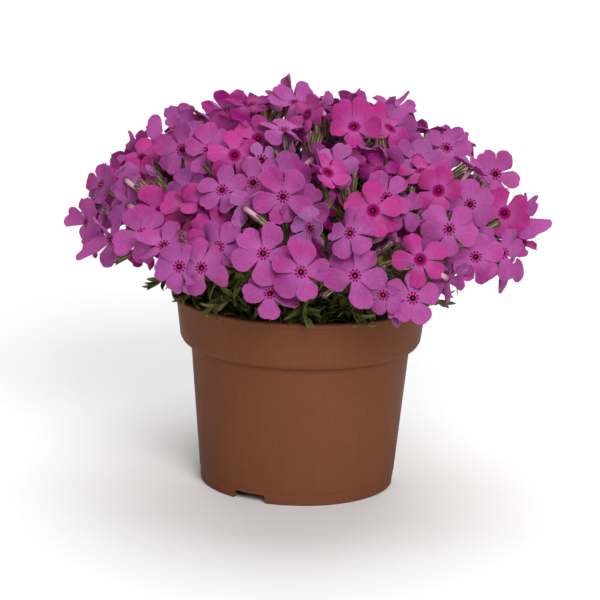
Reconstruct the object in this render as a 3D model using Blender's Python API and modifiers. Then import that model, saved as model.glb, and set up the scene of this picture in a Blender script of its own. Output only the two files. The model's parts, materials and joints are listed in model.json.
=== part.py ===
"""Creeping phlox in full bloom, growing in a 12 cm nursery pot.

The pot and the soil are turned solids. The plant is a dome of five-petalled blooms: every head of
blooms is one solid that springs from a small core, and stands on a leafy stem of its own, which
grows out of a hole in the soil. Metres, +Z up, origin under the middle of the pot's foot.
"""

import itertools
import math
from dataclasses import dataclass, replace

import bmesh
import bpy
import numpy as np
from mathutils import Matrix, Quaternion, Vector
from mathutils.bvhtree import BVHTree

MM = 0.001
UP = Vector((0.0, 0.0, 1.0))

# Pot
POT_STEPS = 36
POT_HEIGHT = 89 * MM
RIM_RADIUS = 60 * MM
LIP_HEIGHT = 1.9 * MM
LIP_OVERHANG = 2.3 * MM
COLLAR_HEIGHT = 22.3 * MM
COLLAR_FOOT = POT_HEIGHT - COLLAR_HEIGHT
COLLAR_BOTTOM_RADIUS = 55.4 * MM
BODY_TOP_RADIUS = 50.5 * MM
BODY_BASE_RADIUS = 44.9 * MM
FOOT_HEIGHT = 6 * MM
FOOT_RING = 1.6 * MM
WALL = 1.1 * MM
FLOOR_UNDERSIDE = 3 * MM
FLOOR_TOP = 4.4 * MM
NOTCH_COUNT = 3
NOTCH_BEARING = math.radians(-118.7)
NOTCH_SIZE = (19 * MM, 12 * MM, 4 * MM)
NOTCH_TOP_SHARE = 0.8
DRAIN_COUNT = 5
DRAIN_RADIUS = 4 * MM
DRAIN_CIRCLE = 29 * MM

# Soil
SOIL_STEPS = 28
SOIL_TOP = 80 * MM
SOIL_CROWN = 1.5 * MM
GAP = 0.3 * MM
HOLE_SIDES = 5
HOLE_DEPTH = 9 * MM

# Dome that the blooms lie on: the upper half of a flattened ball
DOME_CENTRE = Vector((0.0, 0.0, 114 * MM))
DOME_RADIUS = 100 * MM
DOME_RISE = 63 * MM
DOME_BACK_REACH = 1.03

# The sight line along which the plant was studied: a 600 px picture, focus in pixels
EYE_DISTANCE = 1.4
EYE_ELEVATION = math.radians(14.93)
EYE_ROLL = math.radians(1.69)
EYE_AIM = Vector((0.0, 0.0, 66.7 * MM))
PICTURE_FOCUS = 3032.0
PICTURE_AIM = (300.42, 338.77)

# Blooms
SEED = 11
PETALS = 5
VALLEY_REACH = 0.22
SHOULDER_REACH = 0.85
SHOULDER_ANGLE = math.radians(24)
OUTLINE = (
    (-math.pi / PETALS, VALLEY_REACH, 0.0),
    (-SHOULDER_ANGLE, SHOULDER_REACH, 1.0),
    (0.0, 1.0, 0.0),
    (SHOULDER_ANGLE, SHOULDER_REACH, -1.0),
)
PETAL_THICKNESS = 1.0 * MM
PETAL_CURL = (-0.12, 0.08)
PETAL_TWIST = (-0.02, 0.02)
THROAT_DEPTH = 0.9 * MM
THROAT_RADIUS = 1.1 * MM
THROAT_DROP = 1.9 * MM
STALK_RADII = (THROAT_RADIUS, 1.5 * MM, 0.8 * MM)
BUD_RADII = (0.3 * MM, 1.8 * MM, 1.4 * MM, 0.8 * MM)
KEEL_SHARE = 0.65
CORE_RADIUS = 3.4 * MM
CORE_FOOT = 1.6 * MM
CORE_HEIGHT = 6 * MM
CORE_DEPTH = 26 * MM
ROOT_SUNK = 1.6 * MM
CORE_LOWEST = 106 * MM
HEADS = 27
SPREAD_BLOOMS = 130
SPREAD_RADIUS = (10.8 * MM, 13.2 * MM)
SPREAD_CLEAR = 13.5 * MM
CLEARANCE = 0.4 * MM
FLOWER_REACH = 80 * MM
SHIFTS = (0, -2, 2, -4, 4, -6, -9, -12)
TILTS = ((0, 0.0),) + tuple((tilt, side * math.tau / 6) for tilt in (9, 18, 28) for side in range(6))
SPINS = (0, 18, -18, 36)
SIZES = (1.0, 0.86)
SIZE_COST = 2.5
SHIFT_UNIT = 3.0
TILT_UNIT = 12.0
SPIN_UNIT = 18.0

# Stems and leaves
STEM_RADIUS = 1.3 * MM
STEM_SIDES = 4
STEM_POINTS = 6
STEM_STRAIGHT = 2 * MM
STEM_SWINGS = (0, 7, -7, 14, -14, 21, -21)
ROOT_SHARE = 0.6
ROOT_REACH = 44 * MM
STEM_PAIRS = 1
LEAF_LENGTH = (10 * MM, 15 * MM)
LEAF_POINT = 0.1 * MM
LEAF_RADII = (0.3 * MM, 0.95 * MM, LEAF_POINT)
LEAF_SUNK = 0.5 * MM
LEAF_TRIES = tuple(itertools.product((0, 22, -22, 44, -44), (1.0, 0.75, 0.55)))
SHOOT_FROM = 48 * MM
SHOOT_LENGTH = 26 * MM
SHOOT_RADII = (0.8 * MM, 0.7 * MM, 0.5 * MM)
SHOOT_TRIES = tuple(itertools.product((20, -20, 40, -40, 0, 55, -55), (-0.25, 0.1, 0.4)))
SHOOT_PAIRS = 2
GREEN_BUDS = 1
GREEN_BUD_RADIUS = 1.4 * MM
BUD_STALK = 0.7 * MM
BUD_TILTS = (0.55, 0.85, 1.1)
BUD_REACHES = (27 * MM, 23 * MM, 19 * MM)

# Colours, linear
POT_COLOUR = (0.162, 0.061, 0.030)
SOIL_COLOUR = (0.020, 0.012, 0.008)
LEAF_COLOUR = (0.07, 0.13, 0.03)
PETAL_COLOUR = (0.50, 0.09, 0.37)


@dataclass
class Bloom:
    """One flower, or one bud where it has no petals."""

    centre: Vector
    facing: Vector
    petal: Vector
    radius: float
    curl: float = 0.0
    twist: float = 0.0
    bud: bool = False
    head: int = 0
    slide: Vector = None

    def frame(self):
        """The limb's own axes, from its throat: first petal, across it, and out of the face."""
        out = self.facing.normalized()
        along = (self.petal - out * self.petal.dot(out)).normalized()
        turn = Matrix((along, out.cross(along), out)).transposed()
        return Matrix.Translation(self.centre) @ turn.to_4x4()


# Blooms as the picture shows them: place in pixels, how far the face leans right and up, whether it
# faces the viewer (1) or away (-1), radius in mm, the bearing of one petal in degrees or None, and
# the share of the dome's radius that the throat lies at.
SEEN = (
    (263, 253.5, 0.05, 0, 1, 14.3, 57, 1.02),
    (301, 272, 0, 0.05, 1, 14.3, 75, 1.02),
    (354.5, 275.5, -0.2, -0.05, 1, 14.3, 272, 1.01),
    (283, 196.5, 0, 0, 1, 13.4, 48, 1.02),
    (420.5, 259.5, 0, 0, 1, 13.4, 110, 1.01),
    (449.5, 229, 0.05, 0, 1, 13.8, 270, 1.01),
    (270, 292.5, 0, 0.5, 1, 13.8, 190, 1),
    (142, 234, -0.25, -0.1, 1, 13.8, 270, 1),
    (373, 210.5, -0.15, 0, 1, 13.4, 160, 1.01),
    (387, 197.5, 0, 0.15, 1, 12.5, 50, 0.98),
    (402, 209.5, 0.1, 0.05, 1, 11.1, 70, 1.01),
    (349, 233, -0.5, 0.2, 1, 12.0, 170, 1.02),
    (218, 247, -0.5, -0.1, 1, 12.9, 270, 1.01),
    (212, 232, 0, 0.1, 1, 12.0, None, 0.94),
    (203, 204, 0.05, 0.25, 1, 12.0, None, 1),
    (186, 209, -0.1, -0.1, 1, 12.5, 295, 1),
    (158, 211, -0.35, 0.1, 1, 13.8, 40, 0.96),
    (163, 244, -0.2, 0.35, 1, 12.5, 70, 1),
    (201, 268, -0.1, 0.2, 1, 13.8, 255, 1),
    (179, 267, -0.35, -0.1, 1, 11.6, None, 1),
    (182, 282, 0, -0.8, 1, 8.3, None, 1),
    (195, 240, 0, 0, 1, 10.2, None, 0.9),
    (229, 262, 0, -0.1, 1, 13.4, 270, 0.96),
    (182, 149.5, -0.1, 0.05, 1, 12.9, 90, 1),
    (210, 149, 0, 0.05, 1, 12.5, 180, 1),
    (235, 155, 0.3, 0.1, 1, 12.5, 20, 1),
    (258, 138, 0.1, 0.3, 1, 11.6, None, 0.95),
    (222, 190, 0, 0.35, 1, 12.5, 80, 1),
    (253, 182, 0, 0.2, 1, 12.5, 100, 1),
    (284, 178, 0, 0.1, 1, 12.5, 150, 0.94),
    (303, 207, 0.1, 0, 1, 11.1, None, 0.93),
    (242, 207, -0.35, 0.5, -1, 10.2, None, 1.02),
    (309, 229, -0.45, -0.5, -1, 10.2, None, 1.02),
    (312, 240, 0, 0, 1, 12.0, None, 0.9),
    (350, 242, 0, -0.3, 1, 11.1, None, 0.95),
    (387, 232, 0.3, 0.3, -1, 8.3, None, 0.98),
    (476, 256, 0, 0.35, 1, 13.4, 85, 1),
    (504, 254, 0.3, -0.35, 1, 12.5, 70, 1),
    (508, 268, 0.4, -0.5, 1, 12.0, 260, 1),
    (505, 213, 0.2, 0.1, 1, 12.5, 110, 1),
    (496, 173.5, 0.1, 0.1, 1, 12.5, 195, 1),
    (470, 204, -0.3, 0.1, 1, 12.0, 320, 1),
    (438, 190, -0.3, 0.2, 1, 11.6, 65, 1),
    (447, 147, 0.2, 0.45, 1, 11.6, None, 1),
    (455, 139, 0.3, 0.8, 1, 11.1, None, 1),
    (422, 168, 0, 0.9, 1, 12.9, None, 1),
    (418, 157, 0.2, 0.5, 1, 11.1, None, 0.95),
    (380, 172, 0, 0, 1, 9.2, None, 0.93),
    (519, 217, 0.9, 0, -1, 12.9, None, 1),
    (524, 240, 0.7, 0, 1, 10.2, None, 0.96),
    (450, 281, 0.5, -0.35, -1, 12.5, None, 1),
    (413, 298, 0.1, 0.1, 1, 12.9, 10, 1),
    (383, 296, 0, -0.75, 1, 11.1, 270, 1),
    (437, 262, 0.1, 0.1, 1, 9.2, None, 0.92),
    (428, 240, 0.7, 0, 1, 9.2, None, 0.97),
    (475, 226, 0.1, 0.1, 1, 10.6, None, 0.93),
    (84, 222, -0.85, 0.05, 1, 12.9, 250, 1),
    (99, 184, -0.75, 0.35, 1, 12.5, 80, 1),
    (91, 200, -0.9, 0.1, 1, 11.6, 95, 1),
    (105, 207, -0.6, -0.1, 1, 11.6, None, 0.93),
    (109, 240, -0.8, -0.2, 1, 12.9, 60, 1),
    (126, 205, -0.6, 0.1, -1, 10.2, None, 0.92),
    (124, 178, -0.5, 0.5, -1, 9.2, None, 1),
    (142, 200, -0.2, 0.3, -1, 12.0, 50, 1),
    (139, 178, -0.3, 0.1, 1, 11.1, None, 0.93),
    (140, 158, -0.45, 0.3, 1, 11.1, None, 1),
    (158, 143, -0.4, 0.6, -1, 11.1, None, 0.97),
    (187, 190, 0, 0.4, 1, 12.0, None, 0.95),
    (180, 118, -0.5, 0.75, 1, 10.2, None, 1),
    (201, 116, -0.1, 0.85, -1, 10.6, None, 1),
    (172, 128, -0.6, 0.45, 1, 9.2, None, 1),
    (197, 137, 0, 0.5, 1, 10.2, None, 0.94),
    (226, 108, 0, 0.85, 1, 12.0, None, 1),
    (250, 104, 0.1, 0.95, 1, 12.5, None, 1),
    (232, 128, 0.4, 0.6, -1, 11.1, None, 1),
    (262, 160, 0.2, 0.2, 1, 8.3, None, 0.95),
    (284, 128, 0, 0.85, 1, 11.1, None, 1.02),
    (278, 138, 0, -0.2, 1, 10.2, None, 0.95),
    (294, 100, -0.1, 0.8, 1, 12.0, None, 1.03),
    (306, 114, -0.7, -0.3, 1, 10.2, None, 1),
    (319, 107, -0.1, 0.8, -1, 9.2, None, 1),
    (345, 110, 0, 0.95, 1, 12.5, None, 1),
    (354, 126, 0.05, 0.55, 1, 12.9, 195, 1),
    (391, 127, 0.62, 0.6, 1, 12.9, 135, 1),
    (402, 130, 0.4, 0.7, -1, 11.1, None, 1),
    (381, 150, 0.55, 0.2, -1, 11.1, None, 1),
    (336, 165, 0.1, -0.1, 1, 10.2, 75, 1),
    (316, 156, 0.5, 0.15, -1, 11.1, None, 1),
    (328, 172, -0.1, 0.75, 1, 12.9, None, 1),
)

# Buds as the picture shows them: place in pixels and how far the tip leans right and up
SEEN_BUDS = (
    (209, 234, 0.3, 0.5),
    (200, 253, -0.3, 0.3),
    (145, 165, -0.6, 0.6),
    (245, 120, -0.1, 0.9),
    (342, 275, 0.2, 0.4),
    (473, 221, 0.4, 0.6),
    (500, 207, 0.7, 0.5),
    (358, 160, 0.5, 0.6),
    (388, 318, -0.5, -0.5),
    (398, 328, 0.2, -0.7),
)
BUD_LENGTH = 9 * MM


def picture_axes():
    """Right, up and towards the viewer, as the picture has them."""
    back = Vector((0.0, -math.cos(EYE_ELEVATION), math.sin(EYE_ELEVATION)))
    level = Vector((1.0, 0.0, 0.0))
    upright = back.cross(level)
    right = level * math.cos(EYE_ROLL) + upright * math.sin(EYE_ROLL)
    up = upright * math.cos(EYE_ROLL) - level * math.sin(EYE_ROLL)
    return right, up, back


def dome_offset(point):
    """A point as seen from the dome's middle, with the dome drawn as a ball of radius one."""
    gap = point - DOME_CENTRE
    return Vector((gap.x / DOME_RADIUS, gap.y / DOME_RADIUS, gap.z / DOME_RISE))


def outward(point):
    """The way out of the dome at a point near it."""
    shape = dome_offset(point)
    return Vector((shape.x / DOME_RADIUS, shape.y / DOME_RADIUS, shape.z / DOME_RISE)).normalized()


def on_dome(px, py, depth):
    """Where the sight line through a pixel first meets the dome drawn at a share of its size."""
    right, up, back = picture_axes()
    eye = EYE_AIM + back * EYE_DISTANCE
    line = right * (px - PICTURE_AIM[0]) + up * (PICTURE_AIM[1] - py) - back * PICTURE_FOCUS
    start = dome_offset(eye)
    step = dome_offset(eye + line) - start
    half = start.dot(step) / step.length_squared
    reach = (start.length_squared - depth * depth) / step.length_squared
    return eye + line * (-half - math.sqrt(max(half * half - reach, 0.0)))


def leaning(right_share, up_share, side):
    """A face's direction from how far it leans right and up in the picture."""
    right, up, back = picture_axes()
    toward = math.sqrt(max(1 - right_share**2 - up_share**2, 0.0))
    return (right * right_share + up * up_share + back * side * toward).normalized()


def picture_petal(facing, degrees):
    """The direction in the limb's plane that the picture shows at this bearing."""
    right, up, back = picture_axes()
    seen = right * math.cos(math.radians(degrees)) + up * math.sin(math.radians(degrees))
    toward = back.dot(facing)
    if abs(toward) > 0.3:
        return seen - back * (seen.dot(facing) / toward)
    return seen - facing * seen.dot(facing)


def seen_blooms(draw):
    """The blooms and buds that the picture shows, free to slide along the sight line."""
    blooms = []
    toward = picture_axes()[2]
    for px, py, right_share, up_share, side, radius, degrees, depth in SEEN:
        turn = draw.uniform(0, 360)
        facing = leaning(right_share, up_share, side)
        petal = picture_petal(facing, turn if degrees is None else degrees)
        curl, twist = draw.uniform(*PETAL_CURL), draw.uniform(*PETAL_TWIST)
        blooms.append(Bloom(on_dome(px, py, depth), facing, petal, radius * MM, curl, twist, slide=toward))
    for px, py, right_share, up_share in SEEN_BUDS:
        facing = leaning(right_share, up_share, 1)
        petal = picture_petal(facing, 0)
        blooms.append(Bloom(on_dome(px, py, 1.0), facing, petal, BUD_LENGTH, bud=True, slide=toward))
    return blooms


def spread_blooms(draw, taken):
    """Blooms by rule over the whole dome, wherever the seen ones leave room."""
    golden = math.pi * (3 - math.sqrt(5))
    blooms = []
    for i in range(SPREAD_BLOOMS):
        height = 1 - (i + 0.5) / SPREAD_BLOOMS * 1.03
        ring = math.sqrt(max(1 - height * height, 0.0))
        bearing = i * golden + draw.uniform(-0.08, 0.08)
        depth = draw.uniform(0.94, 1.02)
        across = Vector((ring * math.cos(bearing), ring * math.sin(bearing))) * DOME_RADIUS * depth
        across.y *= DOME_BACK_REACH if across.y > 0 else 1.0
        centre = DOME_CENTRE + Vector((across.x, across.y, height * DOME_RISE * depth))
        lean = Vector(draw.normal(0, 0.33, 3))
        petal = Vector(draw.normal(0, 1, 3))
        radius = draw.uniform(*SPREAD_RADIUS)
        curl, twist = draw.uniform(*PETAL_CURL), draw.uniform(*PETAL_TWIST)
        facing = (outward(centre) + lean).normalized()
        if all((centre - other.centre).length > SPREAD_CLEAR for other in taken):
            blooms.append(Bloom(centre, facing, petal, radius, curl, twist, slide=outward(centre)))
    return blooms


def gather_heads(blooms):
    """Shares the blooms among the heads, nearest first, and returns each head's core."""
    places = np.array([bloom.centre for bloom in blooms])
    golden = math.pi * (3 - math.sqrt(5))
    heights = 1 - (np.arange(HEADS) + 0.5) / HEADS
    rings = np.sqrt(1 - heights**2) * DOME_RADIUS
    bearings = np.arange(HEADS) * golden
    middles = np.column_stack((rings * np.cos(bearings), rings * np.sin(bearings), heights * DOME_RISE))
    middles += np.array(DOME_CENTRE)
    for _ in range(12):
        nearest = np.linalg.norm(places[:, None] - middles[None], axis=2).argmin(axis=1)
        middles = np.array([places[nearest == head].mean(axis=0) for head in range(HEADS)])
    for bloom, head in zip(blooms, nearest):
        bloom.head = int(head)
    cores = []
    for middle in middles:
        core = Vector(middle) - outward(Vector(middle)) * CORE_DEPTH
        core.z = max(core.z, CORE_LOWEST)
        cores.append(core)
    return cores


def turned_from_core(bloom, core):
    """A face never looks straight back at the core that its stalk comes from."""
    away = (bloom.centre - core).normalized()
    short = 0.1 - bloom.facing.dot(away)
    if short > 0:
        bloom.facing = (bloom.facing + away * (short + 0.05)).normalized()
    return bloom


def stalk_path(bloom, core):
    """Throat, middle and root of a flower's stalk: straight out of the limb, then round to the core."""
    throat = bloom.centre - bloom.facing * THROAT_DROP
    reach = (throat - core).length
    bend = throat - bloom.facing * reach * 0.45
    middle = throat * 0.3025 + bend * 0.495 + core * 0.2025
    return [throat, middle, core + (middle - core).normalized() * ROOT_SUNK]


def sweep(bm, points, radii, sides=3, pointed=False):
    """A closed tube of few sides through the points, each ring square to the path."""
    made = bmesh.ops.create_circle(bm, segments=sides, radius=1.0, cap_ends=True)["verts"]
    edges = [edge for edge in bm.edges if edge.verts[0] in made and edge.verts[1] in made]
    turn, place, size = Quaternion(), Vector(), 1.0
    for i, (point, radius) in enumerate(zip(points, radii)):
        ahead = points[min(i + 1, len(points) - 1)] - points[max(i - 1, 0)]
        onward = (turn @ UP).rotation_difference(ahead) @ turn
        if i:
            grown = bmesh.ops.extrude_edge_only(bm, edges=edges)["geom"]
            made = [item for item in grown if isinstance(item, bmesh.types.BMVert)]
            edges = [item for item in grown if isinstance(item, bmesh.types.BMEdge)]
            edges = [edge for edge in edges if edge.verts[0] in made and edge.verts[1] in made]
        for vert in made:
            corner = turn.inverted() @ (vert.co - place) / size
            vert.co = point + onward @ (corner * radius)
        turn, place, size = onward, point, radius
    if pointed:
        bmesh.ops.pointmerge(bm, verts=made, merge_co=place)
    else:
        bmesh.ops.edgeloop_fill(bm, edges=edges)


def limb_point(bloom, angle, share, swing=0.0, grow=0.0):
    """A point of the limb in its own axes: a shallow cone out of the throat, tipped by the twist."""
    reach = share * bloom.radius + grow
    lift = (bloom.curl * share + bloom.twist * swing) * bloom.radius - THROAT_DEPTH * (1 - share)
    return Vector((reach * math.cos(angle), reach * math.sin(angle), lift))


def outline_point(bloom, index, grow=0.0):
    """One of the 20 points round a limb: for each petal its valley, shoulder, tip and shoulder."""
    petal, step = divmod(index % (4 * PETALS), 4)
    offset, share, swing = OUTLINE[step]
    return limb_point(bloom, petal * math.tau / PETALS + offset, share, swing, grow)


def limb_guard(bloom, grow=0.0):
    """The limb as a slab, made larger on every side by grow."""
    bm = bmesh.new()
    bmesh.ops.create_circle(bm, cap_ends=True, cap_tris=True, segments=4 * PETALS, radius=1.0)
    for vert in bm.verts:
        if vert.co.length > 0.5:
            turn = math.atan2(vert.co.y, vert.co.x) / math.tau
            vert.co = outline_point(bloom, round(turn * 4 * PETALS), grow)
        else:
            vert.co = Vector((0.0, 0.0, -THROAT_DEPTH))
        vert.co.z += grow
    slab = bmesh.ops.extrude_face_region(bm, geom=bm.faces[:])["geom"]
    lower = [item for item in slab if isinstance(item, bmesh.types.BMVert)]
    bmesh.ops.translate(bm, verts=lower, vec=(0, 0, -2 * grow - PETAL_THICKNESS))
    bm.transform(bloom.frame())
    return tree_of(bm)


def tube_guard(points, radii, grow, sides=4):
    """A stalk, stem or leaf, made fatter by grow."""
    bm = bmesh.new()
    sweep(bm, points, [radius + 2 * grow for radius in radii], sides)
    return tree_of(bm)


def tree_of(bm):
    tree = BVHTree.FromBMesh(bm)
    bm.free()
    return tree


@dataclass
class Head:
    """The small core that a head's stalks spring from, and the stem below it."""

    core: Vector
    axis: Vector
    stem: list

    def core_frame(self):
        return Matrix.Translation(self.core) @ UP.rotation_difference(self.axis).to_matrix().to_4x4()


def add_core(bm, head):
    """A short tapered block, its small flat end towards the stem."""
    bmesh.ops.create_cone(
        bm,
        cap_ends=True,
        segments=6,
        radius1=CORE_FOOT,
        radius2=CORE_RADIUS,
        depth=CORE_HEIGHT,
        matrix=head.core_frame(),
    )


def bezier(a, b, c, d, count):
    """Points along a cubic curve, ends included."""
    points = []
    for i in range(count):
        t = i / (count - 1)
        s = 1 - t
        points.append(a * s**3 + b * 3 * s * s * t + c * 3 * s * t * t + d * t**3)
    return points


def grow_stem(core, axis, swing):
    """A stem straight up out of its hole, then over the rim to just short of the core."""
    side = Vector((core.x, core.y, 0.0))
    reach = min(side.length * ROOT_SHARE, ROOT_REACH)
    root = side.normalized() * reach
    root.rotate(Quaternion(UP, swing))
    foot = root + UP * (SOIL_TOP - HOLE_DEPTH + GAP)
    mouth = root + UP * (SOIL_TOP + STEM_STRAIGHT)
    end = core - axis * (CORE_HEIGHT / 2 + GAP)
    span = (end - mouth).length
    curve = bezier(mouth, mouth + UP * span * 0.4, end - axis * span * 0.4, end, STEM_POINTS)
    return [foot] + curve


def plant_heads(cores):
    """The cores with their stems, each swung round a little where it would meet another."""
    heads, trees = [], []
    for core in cores:
        axis = (outward(core) * 0.8 + UP * 0.5).normalized()
        for swing in STEM_SWINGS:
            stem = grow_stem(core, axis, math.radians(swing))
            guard = tube_guard(stem, [STEM_RADIUS] * len(stem), CLEARANCE + STEM_RADIUS)
            if not any(guard.overlap(tree) for tree in trees):
                break
        heads.append(Head(core, axis, stem))
        trees.append(tube_guard(stem, [STEM_RADIUS] * len(stem), 0.0))
    return heads, trees


def stalk_radii(bloom):
    """Radii from the throat or the bud's tip down to the core."""
    return BUD_RADII if bloom.bud else STALK_RADII


def flower_path(bloom, core):
    """The middle line of a flower's stalk, from its limb or bud tip down to the core."""
    if not bloom.bud:
        return stalk_path(bloom, core)
    tip = bloom.centre
    neck = tip - bloom.facing * bloom.radius
    bend = neck - bloom.facing * bloom.radius * 0.6
    root = core + (bend - core).normalized() * ROOT_SUNK
    return [tip, (tip + neck) / 2, neck * 0.8 + bend * 0.2, root]


class Placed:
    """A settled flower and the surfaces that others keep clear of."""

    def __init__(self, bloom, core, grow=0.0):
        path = flower_path(bloom, core)
        radii = stalk_radii(bloom)
        self.bloom = bloom
        self.stalk = tube_guard(path, radii, grow)
        self.outer = None if bloom.bud else limb_guard(bloom, grow)
        self.root = tube_guard(path[1:], radii[1:], grow)
        self.neck = tube_guard(path[:2], radii[:2], grow)

    def surfaces(self):
        return [tree for tree in (self.outer, self.stalk) if tree]

    def crosses_itself(self):
        return bool(self.outer and self.outer.overlap(self.root))

    def crosses(self, other):
        """Stalks of one head meet at its core, and nothing else may touch."""
        if (self.bloom.centre - other.bloom.centre).length > FLOWER_REACH:
            return False
        if self.bloom.head != other.bloom.head and self.stalk.overlap(other.stalk):
            return True
        pairs = (
            (self.outer, other.outer),
            (self.outer, other.stalk),
            (self.stalk, other.outer),
            (self.neck, other.neck),
        )
        return any(one and two and one.overlap(two) for one, two in pairs)


def tries():
    """Small moves in, out and round, the least change first."""
    moves = []
    for size, shift, (tilt, side), spin in itertools.product(SIZES, SHIFTS, TILTS, SPINS):
        cost = abs(shift) / SHIFT_UNIT + tilt / TILT_UNIT + abs(spin) / SPIN_UNIT
        cost += SIZE_COST * (size < 1.0)
        moves.append((cost, size, shift, tilt, side, spin))
    return sorted(moves)


def moved(bloom, size, shift, tilt, side, spin, core):
    """The bloom slid in or out, its face tipped to one side and its petals turned."""
    frame = bloom.frame().to_3x3()
    across = frame @ Vector((math.cos(side), math.sin(side), 0.0))
    tip = Quaternion(across, math.radians(tilt))
    petal = Quaternion(bloom.facing, math.radians(spin)) @ (frame @ Vector((1.0, 0.0, 0.0)))
    centre = bloom.centre + bloom.slide * shift * MM
    radius = bloom.radius * size
    made = replace(bloom, centre=centre, facing=tip @ bloom.facing, petal=tip @ petal, radius=radius)
    return turned_from_core(made, core)


def settle(blooms, heads, stems, pot):
    """Places the blooms one by one, each at the first try that crosses nothing."""
    placed = []
    cores = [core_tree(head) for head in heads]
    moves = tries()
    for bloom in blooms:
        core = heads[bloom.head].core
        for _, *move in moves:
            trial = moved(bloom, *move, core)
            guard = Placed(trial, core, CLEARANCE)
            fixed = [tree for i, tree in enumerate(cores) if i != bloom.head] + stems + pot
            if any(surface.overlap(tree) for surface in guard.surfaces() for tree in fixed):
                continue
            if guard.crosses_itself() or any(guard.crosses(other) for other in placed):
                continue
            placed.append(Placed(trial, core))
            break
    return placed


def core_tree(head):
    bm = bmesh.new()
    add_core(bm, head)
    return tree_of(bm)


def pot_tree(profile):
    """The pot's turned surface, for keeping the plant off it."""
    bm = bmesh.new()
    verts = [bm.verts.new((radius, 0.0, height)) for radius, height in profile]
    edges = [bm.edges.new(pair) for pair in zip(verts, verts[1:])]
    bmesh.ops.spin(
        bm, geom=verts + edges, cent=(0, 0, 0), axis=UP, angle=math.tau, steps=POT_STEPS, use_merge=True
    )
    return tree_of(bm)


class Leaves:
    """The needles and shoots of the leafy stems, each kept clear of what is already there."""

    def __init__(self, placed, heads, stems, pot):
        self.flowers = [tree for flower in placed for tree in flower.surfaces()]
        self.cores = [core_tree(head) for head in heads]
        self.stems = stems
        self.pot = pot
        self.made = [[] for _ in heads]
        self.trees = [[] for _ in heads]

    def add(self, head, path, radii, grow=CLEARANCE):
        """Keeps a needle or shoot if nothing but its own head's greenery is in its way."""
        guard = tube_guard(path, radii, grow)
        others = [tree for i, trees in enumerate(self.trees) if i != head for tree in trees]
        others += [tree for i, tree in enumerate(self.stems) if i != head]
        if any(guard.overlap(tree) for tree in self.flowers + self.cores + self.pot + others):
            return False
        self.made[head].append((path, radii))
        self.trees[head].append(tube_guard(path, radii, 0.0))
        return True

    def pairs(self, draw, head, path, count, first, last):
        """Opposite leaves in crossed pairs along a path, turned or shortened until they are clear."""
        lengths = np.cumsum([0.0] + [(b - a).length for a, b in zip(path, path[1:])])
        turn = draw.uniform(0, math.pi)
        for k in range(count):
            reach = lengths[-1] * (first + (last - first) * k / max(count - 1, 1))
            i = int(np.searchsorted(lengths, reach, side="right")) - 1
            i = min(i, len(path) - 2)
            share = (reach - lengths[i]) / (lengths[i + 1] - lengths[i])
            base = path[i].lerp(path[i + 1], share)
            along = (path[i + 1] - path[i]).normalized()
            across = along.orthogonal().normalized()
            length = draw.uniform(*LEAF_LENGTH)
            for side in (0.0, math.pi):
                for swing, scale in LEAF_TRIES:
                    angle = turn + side + k * math.pi / 2 + math.radians(swing)
                    out = Quaternion(along, angle) @ across
                    if self.add(head, leaf_path(base, along, out, length * scale), LEAF_RADII):
                        break

    def buds(self, draw, index, head, count):
        """Green pointed buds beside the core, reaching out between the blooms."""
        kept = 0
        start = draw.uniform(0, math.tau)
        across = head.axis.orthogonal().normalized()
        base = head.stem[-1].lerp(head.stem[-2], 0.4)
        for tilt, reach, turn in itertools.product(BUD_TILTS, BUD_REACHES, range(9)):
            out = Quaternion(head.axis, start + turn * math.tau / 9) @ across
            way = (head.axis * math.cos(tilt) + out * math.sin(tilt)).normalized()
            shoulder = head.core + out * (CORE_RADIUS + 2 * BUD_STALK)
            neck = head.core + way * reach * 0.68 + out * BUD_STALK
            tip = head.core + way * reach
            radii = (BUD_STALK, BUD_STALK, GREEN_BUD_RADIUS, LEAF_POINT)
            kept += self.add(index, [base, shoulder, neck, tip], radii)
            if kept == count:
                return

    def shoot(self, draw, index, head):
        """A short leafy side shoot that leans out over the rim."""
        way = Vector((head.core.x, head.core.y, 0.0)).normalized()
        for swing, rise in SHOOT_TRIES:
            out = Quaternion(UP, math.radians(swing)) @ way
            base = head.stem[2]
            middle = base + (out * 0.8 + UP * 0.35) * SHOOT_LENGTH * 0.5
            tip = middle + (out * 0.95 + UP * rise) * SHOOT_LENGTH * 0.5
            path = [base, middle, tip]
            if self.add(index, path, SHOOT_RADII):
                self.pairs(draw, index, path, SHOOT_PAIRS, 0.45, 0.95)
                return


def leaf_path(base, along, out, length):
    """Base, widest point and tip of a leaf that arches away from its stem."""
    middle = base + (along * 0.75 + out).normalized() * length * 0.55
    tip = middle + (along * 0.35 + out).normalized() * length * 0.45
    return [base + out * LEAF_SUNK, middle, tip]


def grow_leaves(draw, placed, heads, stems, pot):
    leaves = Leaves(placed, heads, stems, pot)
    for index, head in enumerate(heads):
        leaves.buds(draw, index, head, GREEN_BUDS)
    for index, head in enumerate(heads):
        if Vector((head.core.x, head.core.y)).length > SHOOT_FROM:
            leaves.shoot(draw, index, head)
    for index, head in enumerate(heads):
        leaves.pairs(draw, index, head.stem[1:], STEM_PAIRS, 0.72, 0.88)
    return leaves.made


def plan_plant():
    """Everything about the plant: its heads, its settled flowers and its leaves."""
    draw = np.random.default_rng(SEED)
    seen = seen_blooms(draw)
    wanted = seen + spread_blooms(draw, seen)
    cores = gather_heads(wanted)
    pot = [pot_tree(pot_profile())]
    heads, stems = plant_heads(cores)
    placed = settle(wanted, heads, stems, pot)
    leaves = grow_leaves(draw, placed, heads, stems, pot)
    return heads, placed, leaves


def collection(name):
    made = bpy.data.collections.new(name)
    bpy.context.scene.collection.children.link(made)
    return made


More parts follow.
